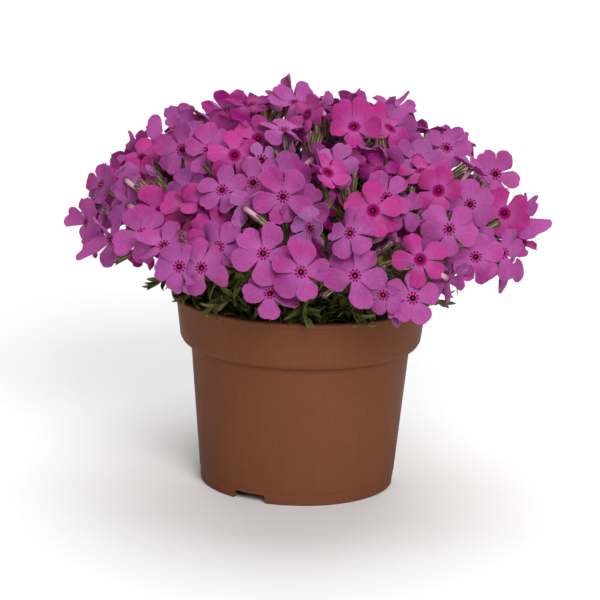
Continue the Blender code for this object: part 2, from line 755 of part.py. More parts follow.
def material(name, colour, roughness):
    made = bpy.data.materials.new(name)
    made.use_nodes = True
    shader = made.node_tree.nodes["Principled BSDF"]
    shader.inputs["Base Color"].default_value = (*colour, 1.0)
    shader.inputs["Roughness"].default_value = roughness
    shader.inputs["Metallic"].default_value = 0.0
    return made


def add_object(name, bm, home, finish=None):
    """A mesh object with outward faces, linked to its collection."""
    bm.normal_update()
    bmesh.ops.recalc_face_normals(bm, faces=bm.faces[:])
    mesh = bpy.data.meshes.new(name)
    bm.to_mesh(mesh)
    bm.free()
    made = bpy.data.objects.new(name, mesh)
    home.objects.link(made)
    if finish:
        mesh.materials.append(finish)
    return made


def fuse(base, repeats):
    """Joins a collection's solids to the base with one Boolean union, and removes them."""
    union = base.modifiers.new("Fused", "BOOLEAN")
    union.operation = "UNION"
    union.operand_type = "COLLECTION"
    union.collection = repeats
    union.solver = "MANIFOLD"
    apply_modifiers(base)
    for part in list(repeats.objects):
        bpy.data.objects.remove(part)
    bpy.data.collections.remove(repeats)
    drop_pockets(base.data)


def drop_pockets(mesh):
    """Fills each hollow that fusing seals: of the joined surfaces, only the largest stays."""
    bm = bmesh.new()
    bm.from_mesh(mesh)
    left = set(bm.faces)
    shells = []
    while left:
        shell, front = set(), [left.pop()]
        while front:
            face = front.pop()
            shell.add(face)
            near = {other for edge in face.edges for other in edge.link_faces} & left
            left -= near
            front += near
        shells.append(shell)
    shells.sort(key=len)
    inner = [face for shell in shells[:-1] for face in shell]
    bmesh.ops.delete(bm, geom=inner, context="FACES")
    bm.to_mesh(mesh)
    bm.free()


def apply_modifiers(target):
    bpy.context.view_layer.update()
    graph = bpy.context.evaluated_depsgraph_get()
    mesh = bpy.data.meshes.new_from_object(target.evaluated_get(graph))
    target.modifiers.clear()
    old = target.data
    target.data = mesh
    bpy.data.meshes.remove(old)


def pot_profile():
    """The pot's wall from the inside middle of its floor, over the rim and down to the foot."""
    collar_top = RIM_RADIUS - LIP_OVERHANG
    return [
        (0.0, FLOOR_TOP),
        (BODY_BASE_RADIUS - WALL, FLOOR_TOP),
        (BODY_TOP_RADIUS - WALL, COLLAR_FOOT + WALL / 2),
        (COLLAR_BOTTOM_RADIUS - 2 * WALL, COLLAR_FOOT + WALL),
        (collar_top - WALL, POT_HEIGHT - LIP_HEIGHT),
        (collar_top - WALL / 2, POT_HEIGHT),
        (RIM_RADIUS - WALL / 2, POT_HEIGHT),
        (RIM_RADIUS, POT_HEIGHT - WALL / 2),
        (RIM_RADIUS - WALL / 4, POT_HEIGHT - LIP_HEIGHT),
        (collar_top, POT_HEIGHT - LIP_HEIGHT - WALL / 4),
        (COLLAR_BOTTOM_RADIUS, COLLAR_FOOT + 2 * WALL),
        (COLLAR_BOTTOM_RADIUS - WALL, COLLAR_FOOT + WALL / 4),
        (BODY_TOP_RADIUS, COLLAR_FOOT - WALL / 2),
        (BODY_BASE_RADIUS + WALL / 4, FOOT_HEIGHT + WALL / 4),
        (BODY_BASE_RADIUS, FOOT_HEIGHT - WALL / 4),
        (BODY_BASE_RADIUS - WALL / 4, WALL / 2),
        (BODY_BASE_RADIUS - WALL, 0.0),
        (BODY_BASE_RADIUS - WALL - FOOT_RING, 0.0),
        (BODY_BASE_RADIUS - WALL - FOOT_RING, FLOOR_UNDERSIDE),
        (0.0, FLOOR_UNDERSIDE),
    ]


def soil_profile():
    """The soil's outline, a gap inside the pot's wall."""
    slope = (RIM_RADIUS - LIP_OVERHANG - COLLAR_BOTTOM_RADIUS) / (COLLAR_HEIGHT - LIP_HEIGHT)
    shelf = COLLAR_FOOT + WALL + GAP
    top_radius = COLLAR_BOTTOM_RADIUS - 2 * WALL + slope * (SOIL_TOP - COLLAR_FOOT) - GAP
    return [
        (0.0, SOIL_TOP + SOIL_CROWN),
        (top_radius - SOIL_CROWN, SOIL_TOP),
        (COLLAR_BOTTOM_RADIUS - 2 * WALL - 2 * GAP, shelf),
        (BODY_TOP_RADIUS - WALL - 2 * GAP, shelf),
        (BODY_BASE_RADIUS - WALL - 2 * GAP, FLOOR_TOP + GAP),
        (0.0, FLOOR_TOP + GAP),
    ]


def turned(name, profile, steps, home, finish):
    """A profile turned about the upright axis with a Screw modifier."""
    bm = bmesh.new()
    verts = [bm.verts.new((radius, 0.0, height)) for radius, height in profile]
    for pair in zip(verts, verts[1:]):
        bm.edges.new(pair)
    mesh = bpy.data.meshes.new(name)
    bm.to_mesh(mesh)
    bm.free()
    made = bpy.data.objects.new(name, mesh)
    home.objects.link(made)
    mesh.materials.append(finish)
    screw = made.modifiers.new("Turned", "SCREW")
    screw.angle = math.tau
    screw.steps = steps
    screw.render_steps = steps
    screw.use_merge_vertices = True
    screw.merge_threshold = 1e-5
    screw.use_smooth_shade = False
    return made


def cut(target, cutters):
    """Takes a collection of cutters away from a solid."""
    for cutter in cutters.objects:
        cutter.hide_render = True
        cutter.display_type = "WIRE"
    boolean = target.modifiers.new("Cut", "BOOLEAN")
    boolean.operation = "DIFFERENCE"
    boolean.operand_type = "COLLECTION"
    boolean.collection = cutters
    boolean.solver = "EXACT"


def build_pot(home, finish):
    """The pot, with water notches round its foot and drain holes in its floor."""
    cutters = collection("Pot cutters")
    for k in range(NOTCH_COUNT):
        bearing = NOTCH_BEARING + k * math.tau / NOTCH_COUNT
        bm = bmesh.new()
        bmesh.ops.create_cube(bm, size=1.0)
        width, depth, height = NOTCH_SIZE
        bmesh.ops.scale(bm, verts=bm.verts[:], vec=(depth, width, 2 * height))
        upper = [vert for vert in bm.verts if vert.co.z > 0]
        bmesh.ops.scale(bm, verts=upper, vec=(1, NOTCH_TOP_SHARE, 1))
        bmesh.ops.translate(bm, verts=bm.verts[:], vec=(BODY_BASE_RADIUS, 0, 0))
        bm.transform(Matrix.Rotation(bearing, 4, "Z"))
        add_object(f"notch_cutter_{k + 1}", bm, cutters)
    for k in range(DRAIN_COUNT):
        bm = bmesh.new()
        bmesh.ops.create_cone(
            bm, cap_ends=True, segments=6, radius1=DRAIN_RADIUS, radius2=DRAIN_RADIUS, depth=4 * FLOOR_TOP
        )
        bmesh.ops.translate(bm, verts=bm.verts[:], vec=(DRAIN_CIRCLE, 0, 0))
        bm.transform(Matrix.Rotation((k + 0.5) * math.tau / DRAIN_COUNT, 4, "Z"))
        add_object(f"drain_cutter_{k + 1}", bm, cutters)
    cutters.hide_render = True
    cut(turned("pot", pot_profile(), POT_STEPS, home, finish), cutters)


def build_soil(home, finish, heads):
    """The soil that fills the pot, with a plain hole for each stem."""
    cutters = collection("Soil cutters")
    radius = (STEM_RADIUS + GAP) / math.cos(math.pi / HOLE_SIDES)
    for k, head in enumerate(heads):
        bm = bmesh.new()
        bmesh.ops.create_cone(
            bm, cap_ends=True, segments=HOLE_SIDES, radius1=radius, radius2=radius, depth=2 * HOLE_DEPTH
        )
        foot = head.stem[0]
        bmesh.ops.translate(bm, verts=bm.verts[:], vec=(foot.x, foot.y, SOIL_TOP))
        add_object(f"hole_cutter_{k + 1}", bm, cutters)
    cutters.hide_render = True
    cut(turned("soil", soil_profile(), SOIL_STEPS, home, finish), cutters)


def ring(bm, frame, radius, turn):
    """Three points round a stalk, in a frame whose Z runs along it."""
    points = []
    for k in range(3):
        angle = turn + k * math.tau / 3
        corner = Vector((radius * math.cos(angle), radius * math.sin(angle), 0.0))
        points.append(bm.verts.new(frame @ corner))
    return points


def lace(bm, outer, inner):
    """Faces between two rings of unlike counts, stepping on whichever is less far round."""
    i = j = 0
    while i < len(outer) or j < len(inner):
        a, b = outer[i % len(outer)], inner[j % len(inner)]
        if j == len(inner) or (i < len(outer) and (i + 0.5) / len(outer) <= (j + 0.5) / len(inner)):
            i += 1
            bm.faces.new((a, outer[i % len(outer)], b))
        else:
            j += 1
            bm.faces.new((a, inner[j % len(inner)], b))


def flower_solid(flower, core):
    """A limb of five petals on its stalk: a dished face, a keel under each petal and a slim tube."""
    bloom = flower.bloom
    bm = bmesh.new()
    path = flower_path(bloom, core)
    if bloom.bud:
        sweep(bm, path, BUD_RADII)
        return bm
    frame = bloom.frame()
    face = [bm.verts.new(frame @ outline_point(bloom, i)) for i in range(4 * PETALS)]
    throat = bm.verts.new(frame @ Vector((0.0, 0.0, -THROAT_DEPTH)))
    for first, second in zip(face, face[1:] + face[:1]):
        bm.faces.new((throat, first, second))
    last = []
    for petal in range(0, 4 * PETALS, 4):
        point = limb_point(bloom, petal / 4 * math.tau / PETALS, KEEL_SHARE)
        point.z -= PETAL_THICKNESS
        keel = bm.verts.new(frame @ point)
        edge = (face + face[:1])[petal : petal + 5]
        for first, second in zip(edge, edge[1:]):
            bm.faces.new((first, second, keel))
        last += [face[petal], keel]
    turn = -math.pi / PETALS
    for k, radius in enumerate(STALK_RADII):
        ahead = path[k - 1] - path[min(k + 1, len(path) - 1)] if k else bloom.facing
        onward = Matrix.Translation(path[k]) @ aligned(frame, ahead)
        made = ring(bm, onward, radius, turn)
        lace(bm, last, made)
        last = made
    bm.faces.new(last)
    return bm


def aligned(frame, ahead):
    """The frame's own turn, tipped so that its Z lies along the given direction."""
    turn = frame.to_quaternion()
    return ((turn @ UP).rotation_difference(ahead) @ turn).to_matrix().to_4x4()


def build_head(name, head, flowers, home, finish):
    """One head: its core with every flower's stalk fused in."""
    bm = bmesh.new()
    add_core(bm, head)
    base = add_object(name, bm, home, finish)
    repeats = collection(f"{name} flowers")
    for k, flower in enumerate(flowers):
        add_object(f"{name}_flower_{k + 1}", flower_solid(flower, head.core), repeats)
    fuse(base, repeats)


def build_stem(name, head, needles, home, finish):
    """One leafy stem: the stem with its leaves, shoot and green buds fused in."""
    bm = bmesh.new()
    sweep(bm, head.stem, [STEM_RADIUS] * len(head.stem), STEM_SIDES)
    base = add_object(name, bm, home, finish)
    repeats = collection(f"{name} leaves")
    for k, (path, radii) in enumerate(needles):
        bm = bmesh.new()
        sweep(bm, path, radii, pointed=True)
        add_object(f"{name}_leaf_{k + 1}", bm, repeats)
    fuse(base, repeats)


def main():
    for obj in list(bpy.data.objects):
        bpy.data.objects.remove(obj)
    home = collection("Potted creeping phlox")
    heads, placed, leaves = plan_plant()
    build_pot(home, material("terracotta plastic", POT_COLOUR, 0.42))
    build_soil(home, material("peat", SOIL_COLOUR, 0.95), heads)
    for index, head in enumerate(heads):
        flowers = [flower for flower in placed if flower.bloom.head == index]
        number = f"{index + 1:02d}"
        green = material(f"leaf {number}", LEAF_COLOUR, 0.6)
        pink = material(f"petal {number}", PETAL_COLOUR, 0.6)
        build_stem(f"leafy_stem_{number}", head, leaves[index], home, green)
        build_head(f"flower_head_{number}", head, flowers, home, pink)


if __name__ == "__main__":
    main()
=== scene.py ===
"""Looks of a creeping phlox in full bloom in its 12 cm nursery pot.

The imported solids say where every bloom, stalk, stem and leaf is. This script finds them there again
by the rules that placed them, and builds each as it grew: five veined petals round a dark eye, a
slim tube in a striped calyx, folded leaves, peat with grit in it, and a matt moulded pot.
"""

import functools
import itertools
import json
import logging
import math
from collections.abc import Iterable, Sequence
from dataclasses import dataclass, field, replace
from enum import Enum

import bmesh
import bpy
import numpy as np
from bmesh.types import BMEdge, BMesh, BMFace, BMVert
from bpy.types import Material, NodeSocket, Object, ShaderNode, ShaderNodeTree
from mathutils import Matrix, Quaternion, Vector, noise
from mathutils.kdtree import KDTree

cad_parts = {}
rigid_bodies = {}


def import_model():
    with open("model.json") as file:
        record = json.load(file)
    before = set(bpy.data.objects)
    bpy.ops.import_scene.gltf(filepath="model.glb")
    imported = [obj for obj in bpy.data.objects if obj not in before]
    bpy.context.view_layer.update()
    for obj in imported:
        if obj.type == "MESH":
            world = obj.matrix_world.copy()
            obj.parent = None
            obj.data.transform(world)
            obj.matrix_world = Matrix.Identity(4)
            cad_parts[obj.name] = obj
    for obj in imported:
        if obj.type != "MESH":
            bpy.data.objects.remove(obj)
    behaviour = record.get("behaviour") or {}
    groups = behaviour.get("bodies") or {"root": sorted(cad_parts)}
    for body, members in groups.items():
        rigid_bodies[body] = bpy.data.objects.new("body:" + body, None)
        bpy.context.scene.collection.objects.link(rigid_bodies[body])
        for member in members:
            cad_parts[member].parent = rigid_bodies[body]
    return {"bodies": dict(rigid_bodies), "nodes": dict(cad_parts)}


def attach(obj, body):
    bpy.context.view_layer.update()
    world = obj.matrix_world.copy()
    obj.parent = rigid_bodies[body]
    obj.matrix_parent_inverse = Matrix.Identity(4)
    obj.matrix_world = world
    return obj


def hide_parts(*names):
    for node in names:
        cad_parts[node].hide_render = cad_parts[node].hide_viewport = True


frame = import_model()

MM = 0.001
UP = Vector((0.0, 0.0, 1.0))
GOLDEN_TURN = math.pi * (3 - math.sqrt(5))
BODY = "root"
LOG = logging.getLogger("phlox")

Span = tuple[float, float]
Triple = tuple[float, float, float]
Row = tuple[float, ...]
Colour = Triple
Path = Sequence[Vector]
Value = NodeSocket | float
Draw = np.random.Generator


class Tone(Enum):
    """The colours that the blooms come in, by their letter in the table of blooms."""

    PINK = "P"
    HOT = "H"
    MAUVE = "M"
    LILAC = "L"
    # The dark tone is also the painted shade of the lower layer of blooms.
    DARK = "D"


# Blooms as the picture shows them: place in pixels, how far the face leans right and up, whether it
# faces the viewer (1) or away (-1), radius in mm, the bearing of one petal in degrees or None, the
# share of the dome's radius that the throat lies at, and the tone.
SEEN = (
    (263, 253.5, 0.05, 0, 1, 14.3, 57, 1.02, "P"),
    (301, 272, 0, 0.05, 1, 14.3, 75, 1.02, "P"),
    (354.5, 275.5, -0.2, -0.05, 1, 14.3, 272, 1.01, "P"),
    (283, 196.5, 0, 0, 1, 13.4, 48, 1.02, "P"),
    (420.5, 259.5, 0, 0, 1, 13.4, 110, 1.01, "H"),
    (449.5, 229, 0.05, 0, 1, 13.8, 270, 1.01, "P"),
    (270, 292.5, 0, 0.5, 1, 13.8, 190, 1, "P"),
    (142, 234, -0.25, -0.1, 1, 13.8, 270, 1, "P"),
    (373, 210.5, -0.15, 0, 1, 13.4, 160, 1.01, "H"),
    (387, 197.5, 0, 0.15, 1, 12.5, 50, 0.98, "P"),
    (402, 209.5, 0.1, 0.05, 1, 11.1, 70, 1.01, "P"),
    (349, 233, -0.5, 0.2, 1, 12.0, 170, 1.02, "P"),
    (218, 247, -0.5, -0.1, 1, 12.9, 270, 1.01, "P"),
    (212, 232, 0, 0.1, 1, 12.0, None, 0.94, "H"),
    (203, 204, 0.05, 0.25, 1, 12.0, None, 1, "H"),
    (186, 209, -0.1, -0.1, 1, 12.5, 295, 1, "H"),
    (158, 211, -0.35, 0.1, 1, 13.8, 40, 0.96, "H"),
    (163, 244, -0.2, 0.35, 1, 12.5, 70, 1, "P"),
    (201, 268, -0.1, 0.2, 1, 13.8, 255, 1, "P"),
    (179, 267, -0.35, -0.1, 1, 11.6, None, 1, "M"),
    (182, 282, 0, -0.8, 1, 8.3, None, 1, "L"),
    (195, 240, 0, 0, 1, 10.2, None, 0.9, "H"),
    (229, 262, 0, -0.1, 1, 13.4, 270, 0.96, "P"),
    (182, 149.5, -0.1, 0.05, 1, 12.9, 90, 1, "P"),
    (210, 149, 0, 0.05, 1, 12.5, 180, 1, "P"),
    (235, 155, 0.3, 0.1, 1, 12.5, 20, 1, "H"),
    (258, 138, 0.1, 0.3, 1, 11.6, None, 0.95, "H"),
    (222, 190, 0, 0.35, 1, 12.5, 80, 1, "P"),
    (253, 182, 0, 0.2, 1, 12.5, 100, 1, "P"),
    (284, 178, 0, 0.1, 1, 12.5, 150, 0.94, "P"),
    (303, 207, 0.1, 0, 1, 11.1, None, 0.93, "P"),
    (242, 207, -0.35, 0.5, -1, 10.2, None, 1.02, "L"),
    (309, 229, -0.45, -0.5, -1, 10.2, None, 1.02, "L"),
    (312, 240, 0, 0, 1, 12.0, None, 0.9, "D"),
    (350, 242, 0, -0.3, 1, 11.1, None, 0.95, "P"),
    (387, 232, 0.3, 0.3, -1, 8.3, None, 0.98, "L"),
    (476, 256, 0, 0.35, 1, 13.4, 85, 1, "P"),
    (504, 254, 0.3, -0.35, 1, 12.5, 70, 1, "P"),
    (508, 268, 0.4, -0.5, 1, 12.0, 260, 1, "P"),
    (505, 213, 0.2, 0.1, 1, 12.5, 110, 1, "H"),
    (496, 173.5, 0.1, 0.1, 1, 12.5, 195, 1, "P"),
    (470, 204, -0.3, 0.1, 1, 12.0, 320, 1, "P"),
    (438, 190, -0.3, 0.2, 1, 11.6, 65, 1, "H"),
    (447, 147, 0.2, 0.45, 1, 11.6, None, 1, "P"),
    (455, 139, 0.3, 0.8, 1, 11.1, None, 1, "M"),
    (422, 168, 0, 0.9, 1, 12.9, None, 1, "H"),
    (418, 157, 0.2, 0.5, 1, 11.1, None, 0.95, "M"),
    (380, 172, 0, 0, 1, 9.2, None, 0.93, "D"),
    (519, 217, 0.9, 0, -1, 12.9, None, 1, "M"),
    (524, 240, 0.7, 0, 1, 10.2, None, 0.96, "H"),
    (450, 281, 0.5, -0.35, -1, 12.5, None, 1, "M"),
    (413, 298, 0.1, 0.1, 1, 12.9, 10, 1, "P"),
    (383, 296, 0, -0.75, 1, 11.1, 270, 1, "P"),
    (437, 262, 0.1, 0.1, 1, 9.2, None, 0.92, "M"),
    (428, 240, 0.7, 0, 1, 9.2, None, 0.97, "H"),
    (475, 226, 0.1, 0.1, 1, 10.6, None, 0.93, "P"),
    (84, 222, -0.85, 0.05, 1, 12.9, 250, 1, "P"),
    (99, 184, -0.75, 0.35, 1, 12.5, 80, 1, "P"),
    (91, 200, -0.9, 0.1, 1, 11.6, 95, 1, "P"),
    (105, 207, -0.6, -0.1, 1, 11.6, None, 0.93, "D"),
    (109, 240, -0.8, -0.2, 1, 12.9, 60, 1, "P"),
    (126, 205, -0.6, 0.1, -1, 10.2, None, 0.92, "M"),
    (124, 178, -0.5, 0.5, -1, 9.2, None, 1, "L"),
    (142, 200, -0.2, 0.3, -1, 12.0, 50, 1, "L"),
    (139, 178, -0.3, 0.1, 1, 11.1, None, 0.93, "H"),
    (140, 158, -0.45, 0.3, 1, 11.1, None, 1, "H"),
    (158, 143, -0.4, 0.6, -1, 11.1, None, 0.97, "M"),
    (187, 190, 0, 0.4, 1, 12.0, None, 0.95, "M"),
    (180, 118, -0.5, 0.75, 1, 10.2, None, 1, "M"),
    (201, 116, -0.1, 0.85, -1, 10.6, None, 1, "M"),
    (172, 128, -0.6, 0.45, 1, 9.2, None, 1, "P"),
    (197, 137, 0, 0.5, 1, 10.2, None, 0.94, "M"),
    (226, 108, 0, 0.85, 1, 12.0, None, 1, "D"),
    (250, 104, 0.1, 0.95, 1, 12.5, None, 1, "D"),
    (232, 128, 0.4, 0.6, -1, 11.1, None, 1, "D"),
    (262, 160, 0.2, 0.2, 1, 8.3, None, 0.95, "L"),
    (284, 128, 0, 0.85, 1, 11.1, None, 1.02, "P"),
    (278, 138, 0, -0.2, 1, 10.2, None, 0.95, "M"),
    (294, 100, -0.1, 0.8, 1, 12.0, None, 1.03, "P"),
    (306, 114, -0.7, -0.3, 1, 10.2, None, 1, "H"),
    (319, 107, -0.1, 0.8, -1, 9.2, None, 1, "L"),
    (345, 110, 0, 0.95, 1, 12.5, None, 1, "D"),
    (354, 126, 0.05, 0.55, 1, 12.9, 195, 1, "H"),
    (391, 127, 0.62, 0.6, 1, 12.9, 135, 1, "H"),
    (402, 130, 0.4, 0.7, -1, 11.1, None, 1, "M"),
    (381, 150, 0.55, 0.2, -1, 11.1, None, 1, "M"),
    (336, 165, 0.1, -0.1, 1, 10.2, 75, 1, "L"),
    (316, 156, 0.5, 0.15, -1, 11.1, None, 1, "M"),
    (328, 172, -0.1, 0.75, 1, 12.9, None, 1, "H"),
)

# Buds as the picture shows them: place in pixels and how far the tip leans right and up
SEEN_BUDS = (
    (209, 234, 0.3, 0.5),
    (200, 253, -0.3, 0.3),
    (145, 165, -0.6, 0.6),
    (245, 120, -0.1, 0.9),
    (342, 275, 0.2, 0.4),
    (473, 221, 0.4, 0.6),
    (500, 207, 0.7, 0.5),
    (358, 160, 0.5, 0.6),
    (388, 318, -0.5, -0.5),
    (398, 328, 0.2, -0.7),
)


@dataclass(frozen=True)
class SightLine:
    """The line along which the plant was studied: a 600 px picture, with its focus in pixels."""

    distance: float = 1.4
    elevation: float = math.radians(14.93)
    roll: float = math.radians(1.69)
    aim_height: float = 66.7 * MM
    focus: float = 3032.0
    picture_aim: Span = (300.42, 338.77)
    picture_size: float = 600.0
    sensor: float = 36.0
    steepest: float = 0.3

    def axes(self) -> tuple[Vector, Vector, Vector]:
        """Gives the picture's axes.

        Returns:
            Right, up and towards the viewer.
        """
        back = Vector((0.0, -math.cos(self.elevation), math.sin(self.elevation)))
        level = Vector((1.0, 0.0, 0.0))
        upright = back.cross(level)
        right = level * math.cos(self.roll) + upright * math.sin(self.roll)
        up = upright * math.cos(self.roll) - level * math.sin(self.roll)
        return right, up, back

    def eye(self) -> Vector:
        """Where the picture was taken from."""
        return UP * self.aim_height + self.axes()[2] * self.distance

    def line(self, px: float, py: float) -> Vector:
        """The sight line through a pixel, away from the viewer."""
        right, up, back = self.axes()
        return right * (px - self.picture_aim[0]) + up * (self.picture_aim[1] - py) - back * self.focus

    def facing(self, right_share: float, up_share: float, side: int) -> Vector:
        """Turns a face's lean in the picture into its direction.

        Args:
            right_share: Its lean to the right.
            up_share: Its lean up.
            side: 1 towards the viewer, -1 away.

        Returns:
            The direction.
        """
        right, up, back = self.axes()
        toward = math.sqrt(max(1 - right_share**2 - up_share**2, 0.0))
        return (right * right_share + up * up_share + back * side * toward).normalized()

    def petal(self, facing: Vector, degrees: float) -> Vector:
        """Finds the direction in a limb's plane that the picture shows at a bearing.

        Args:
            facing: The limb's direction.
            degrees: The bearing, anticlockwise from the picture's right.

        Returns:
            The direction.
        """
        right, up, back = self.axes()
        seen = right * math.cos(math.radians(degrees)) + up * math.sin(math.radians(degrees))
        toward = back.dot(facing)
        if abs(toward) > self.steepest:
            return seen - back * (seen.dot(facing) / toward)
        return seen - facing * seen.dot(facing)


@dataclass(frozen=True)
class Dome:
    """The flattened ball whose upper half the blooms lie on."""

    height: float = 114 * MM
    radius: float = 100 * MM
    rise: float = 63 * MM
    back_reach: float = 1.03

    def centre(self) -> Vector:
        """The middle of the ball."""
        return UP * self.height

    def offset(self, point: Vector) -> Vector:
        """A point as seen from the middle, with the dome drawn as a ball of radius one."""
        gap = point - self.centre()
        return Vector((gap.x / self.radius, gap.y / self.radius, gap.z / self.rise))

    def outward(self, point: Vector) -> Vector:
        """The dome's normal at a point near it."""
        shape = self.offset(point)
        return Vector((shape.x / self.radius, shape.y / self.radius, shape.z / self.rise)).normalized()

    def meet(self, sight: SightLine, px: float, py: float, depth: float) -> Vector:
        """Follows a sight line to the dome.

        Args:
            sight: The picture's sight lines.
            px: Pixels from its left edge.
            py: Pixels from its top edge.
            depth: The share of its size that the dome is drawn at.

        Returns:
            Where the line meets it.
        """
        eye = sight.eye()
        line = sight.line(px, py)
        start = self.offset(eye)
        step = self.offset(eye + line) - start
        half = start.dot(step) / step.length_squared
        reach = (start.length_squared - depth * depth) / step.length_squared
        return eye + line * (-half - math.sqrt(max(half * half - reach, 0.0)))


@dataclass
class Bloom:
    """One flower, or one bud where it has no petals.

    Attributes:
        centre: The middle of the limb, or the bud's tip.
        radius: From the middle to a petal's tip, or the bud's length.
        slide: The way in which it may have been moved.
        away: The least share of its facing that points away from its core.
    """

    centre: Vector
    facing: Vector
    petal: Vector
    radius: float
    curl: float = 0.0
    twist: float = 0.0
    bud: bool = False
    head: int = 0
    slide: Vector | None = None
    tone: Tone = Tone.PINK
    away: float = 0.1

    def frame(self) -> Matrix:
        """Gives the limb's own axes.

        Returns:
            The first petal, across it, and out of the face, from the limb's middle.
        """
        out = self.facing.normalized()
        along = (self.petal - out * self.petal.dot(out)).normalized()
        turn = Matrix((along, out.cross(along), out)).transposed()
        return Matrix.Translation(self.centre) @ turn.to_4x4()

    def turned_from(self, core: Vector) -> "Bloom":
        """Keeps the face from looking straight back at its core.

        Args:
            core: Where the stalk comes from.

        Returns:
            The bloom itself.
        """
        away = (self.centre - core).normalized()
        short = self.away - self.facing.dot(away)
        if short > 0:
            self.facing = (self.facing + away * (short + self.away / 2)).normalized()
        return self

    def moved(self, move: "Move", core: Vector) -> "Bloom":
        """Slides, tips and turns the bloom.

        Args:
            move: By how much.
            core: Where the stalk comes from.

        Returns:
            The moved bloom.
        """
        axes = self.frame().to_3x3()
        across = axes @ Vector((math.cos(move.side), math.sin(move.side), 0.0))
        tip = Quaternion(across, math.radians(move.tilt))
        petal = Quaternion(self.facing, math.radians(move.spin)) @ (axes @ Vector((1.0, 0.0, 0.0)))
        made = replace(
            self,
            centre=self.centre + self.slide * move.shift * MM,
            facing=tip @ self.facing,
            petal=tip @ petal,
            radius=self.radius * move.size,
        )
        return made.turned_from(core)


@dataclass(frozen=True, order=True)
class Move:
    """A small change of a bloom's place in mm, degrees and radians; the least are tried first."""

    cost: float
    size: float
    shift: float
    tilt: float
    side: float
    spin: float

    @classmethod
    def all(cls) -> list["Move"]:
        """Lists every change that a bloom may make.

        Returns:
            The moves.
        """
        shifts = (0, -2, 2, -4, 4, -6, -9, -12)
        tilts = [(0, 0.0)] + [(tilt, side * math.tau / 6) for tilt in (9, 18, 28) for side in range(6)]
        spins = (0, 18, -18, 36)
        moves = []
        for size, shift, (tilt, side), spin in itertools.product((1.0, 0.86), shifts, tilts, spins):
            cost = abs(shift) / 3.0 + tilt / 12.0 + abs(spin) / 18.0 + 2.5 * (size < 1.0)
            moves.append(cls(cost, size, shift, tilt, side, spin))
        return sorted(moves)


class PackedSolid:
    """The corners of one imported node, which show whether something of a known size is there."""

    TOLERANCE = 0.02 * MM

    def __init__(self, node: str) -> None:
        """Reads the corners.

        Args:
            node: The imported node's name.
        """
        vertices = frame["nodes"][node].data.vertices
        corners = sorted({tuple(round(value, 6) for value in vertex.co) for vertex in vertices})
        self.tree = KDTree(len(corners))
        for number, corner in enumerate(corners):
            self.tree.insert(corner, number)
        self.tree.balance()

    def has(self, point: Vector, distance: float = 0.0, count: int = 1) -> bool:
        """Whether a number of corners lie round a point, at a distance."""
        found = self.tree.find_n(point, count)
        return all(abs(gap - distance) < self.TOLERANCE for _, _, gap in found)


@dataclass
class Head:
    """A small core from which a head's stalks spring, and the stem below it.

    The stem is a path, and so are the green bud, the side shoot and the leaves, where it has them.
    """

    number: int
    core: Vector
    axis: Vector
    stem: list[Vector] = field(default_factory=list)
    blooms: list[Bloom] = field(default_factory=list)
    bud: Path = ()
    shoot: Path = ()
    leaves: list[Path] = field(default_factory=list)

    @property
    def flower_node(self) -> str:
        """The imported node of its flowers."""
        return f"flower_head_{self.number:02d}"

    @property
    def stem_node(self) -> str:
        """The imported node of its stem."""
        return f"leafy_stem_{self.number:02d}"


def around(axis: Vector, angle: float) -> Vector:
    """The direction across an axis at an angle."""
    return Quaternion(axis, angle) @ axis.orthogonal().normalized()


def flat(bearing: float, height: float = 0.0) -> Vector:
    """A level direction at a bearing, or one that rises by a height."""
    return Vector((math.cos(bearing), math.sin(bearing), height))


def arched(base: Vector, ahead: Vector, out: Vector, length: float, leans: Span, share: float) -> Path:
    """Arches a leaf away from its stem.

    Args:
        base: Where it grows.
        ahead: The way that the stem grows.
        out: Away from the stem.
        length: Its length.
        leans: How far its lower and its upper part lean ahead.
        share: Its lower part, as a share of its length.

    Returns:
        Its base, widest point and tip.
    """
    middle = base + (ahead * leans[0] + out).normalized() * length * share
    return [base, middle, middle + (ahead * leans[1] + out).normalized() * length * (1 - share)]


def bezier(controls: Path, count: int) -> list[Vector]:
    """Samples a Bezier curve of any degree.

    Args:
        controls: Its control points.
        count: How many points to give.

    Returns:
        Points along the curve, ends included.
    """
    order = len(controls) - 1
    points = []
    for i in range(count):
        t = i / (count - 1)
        shares = (math.comb(order, k) * t**k * (1 - t) ** (order - k) for k in range(order + 1))
        points.append(sum((point * share for point, share in zip(controls, shares)), Vector()))
    return points


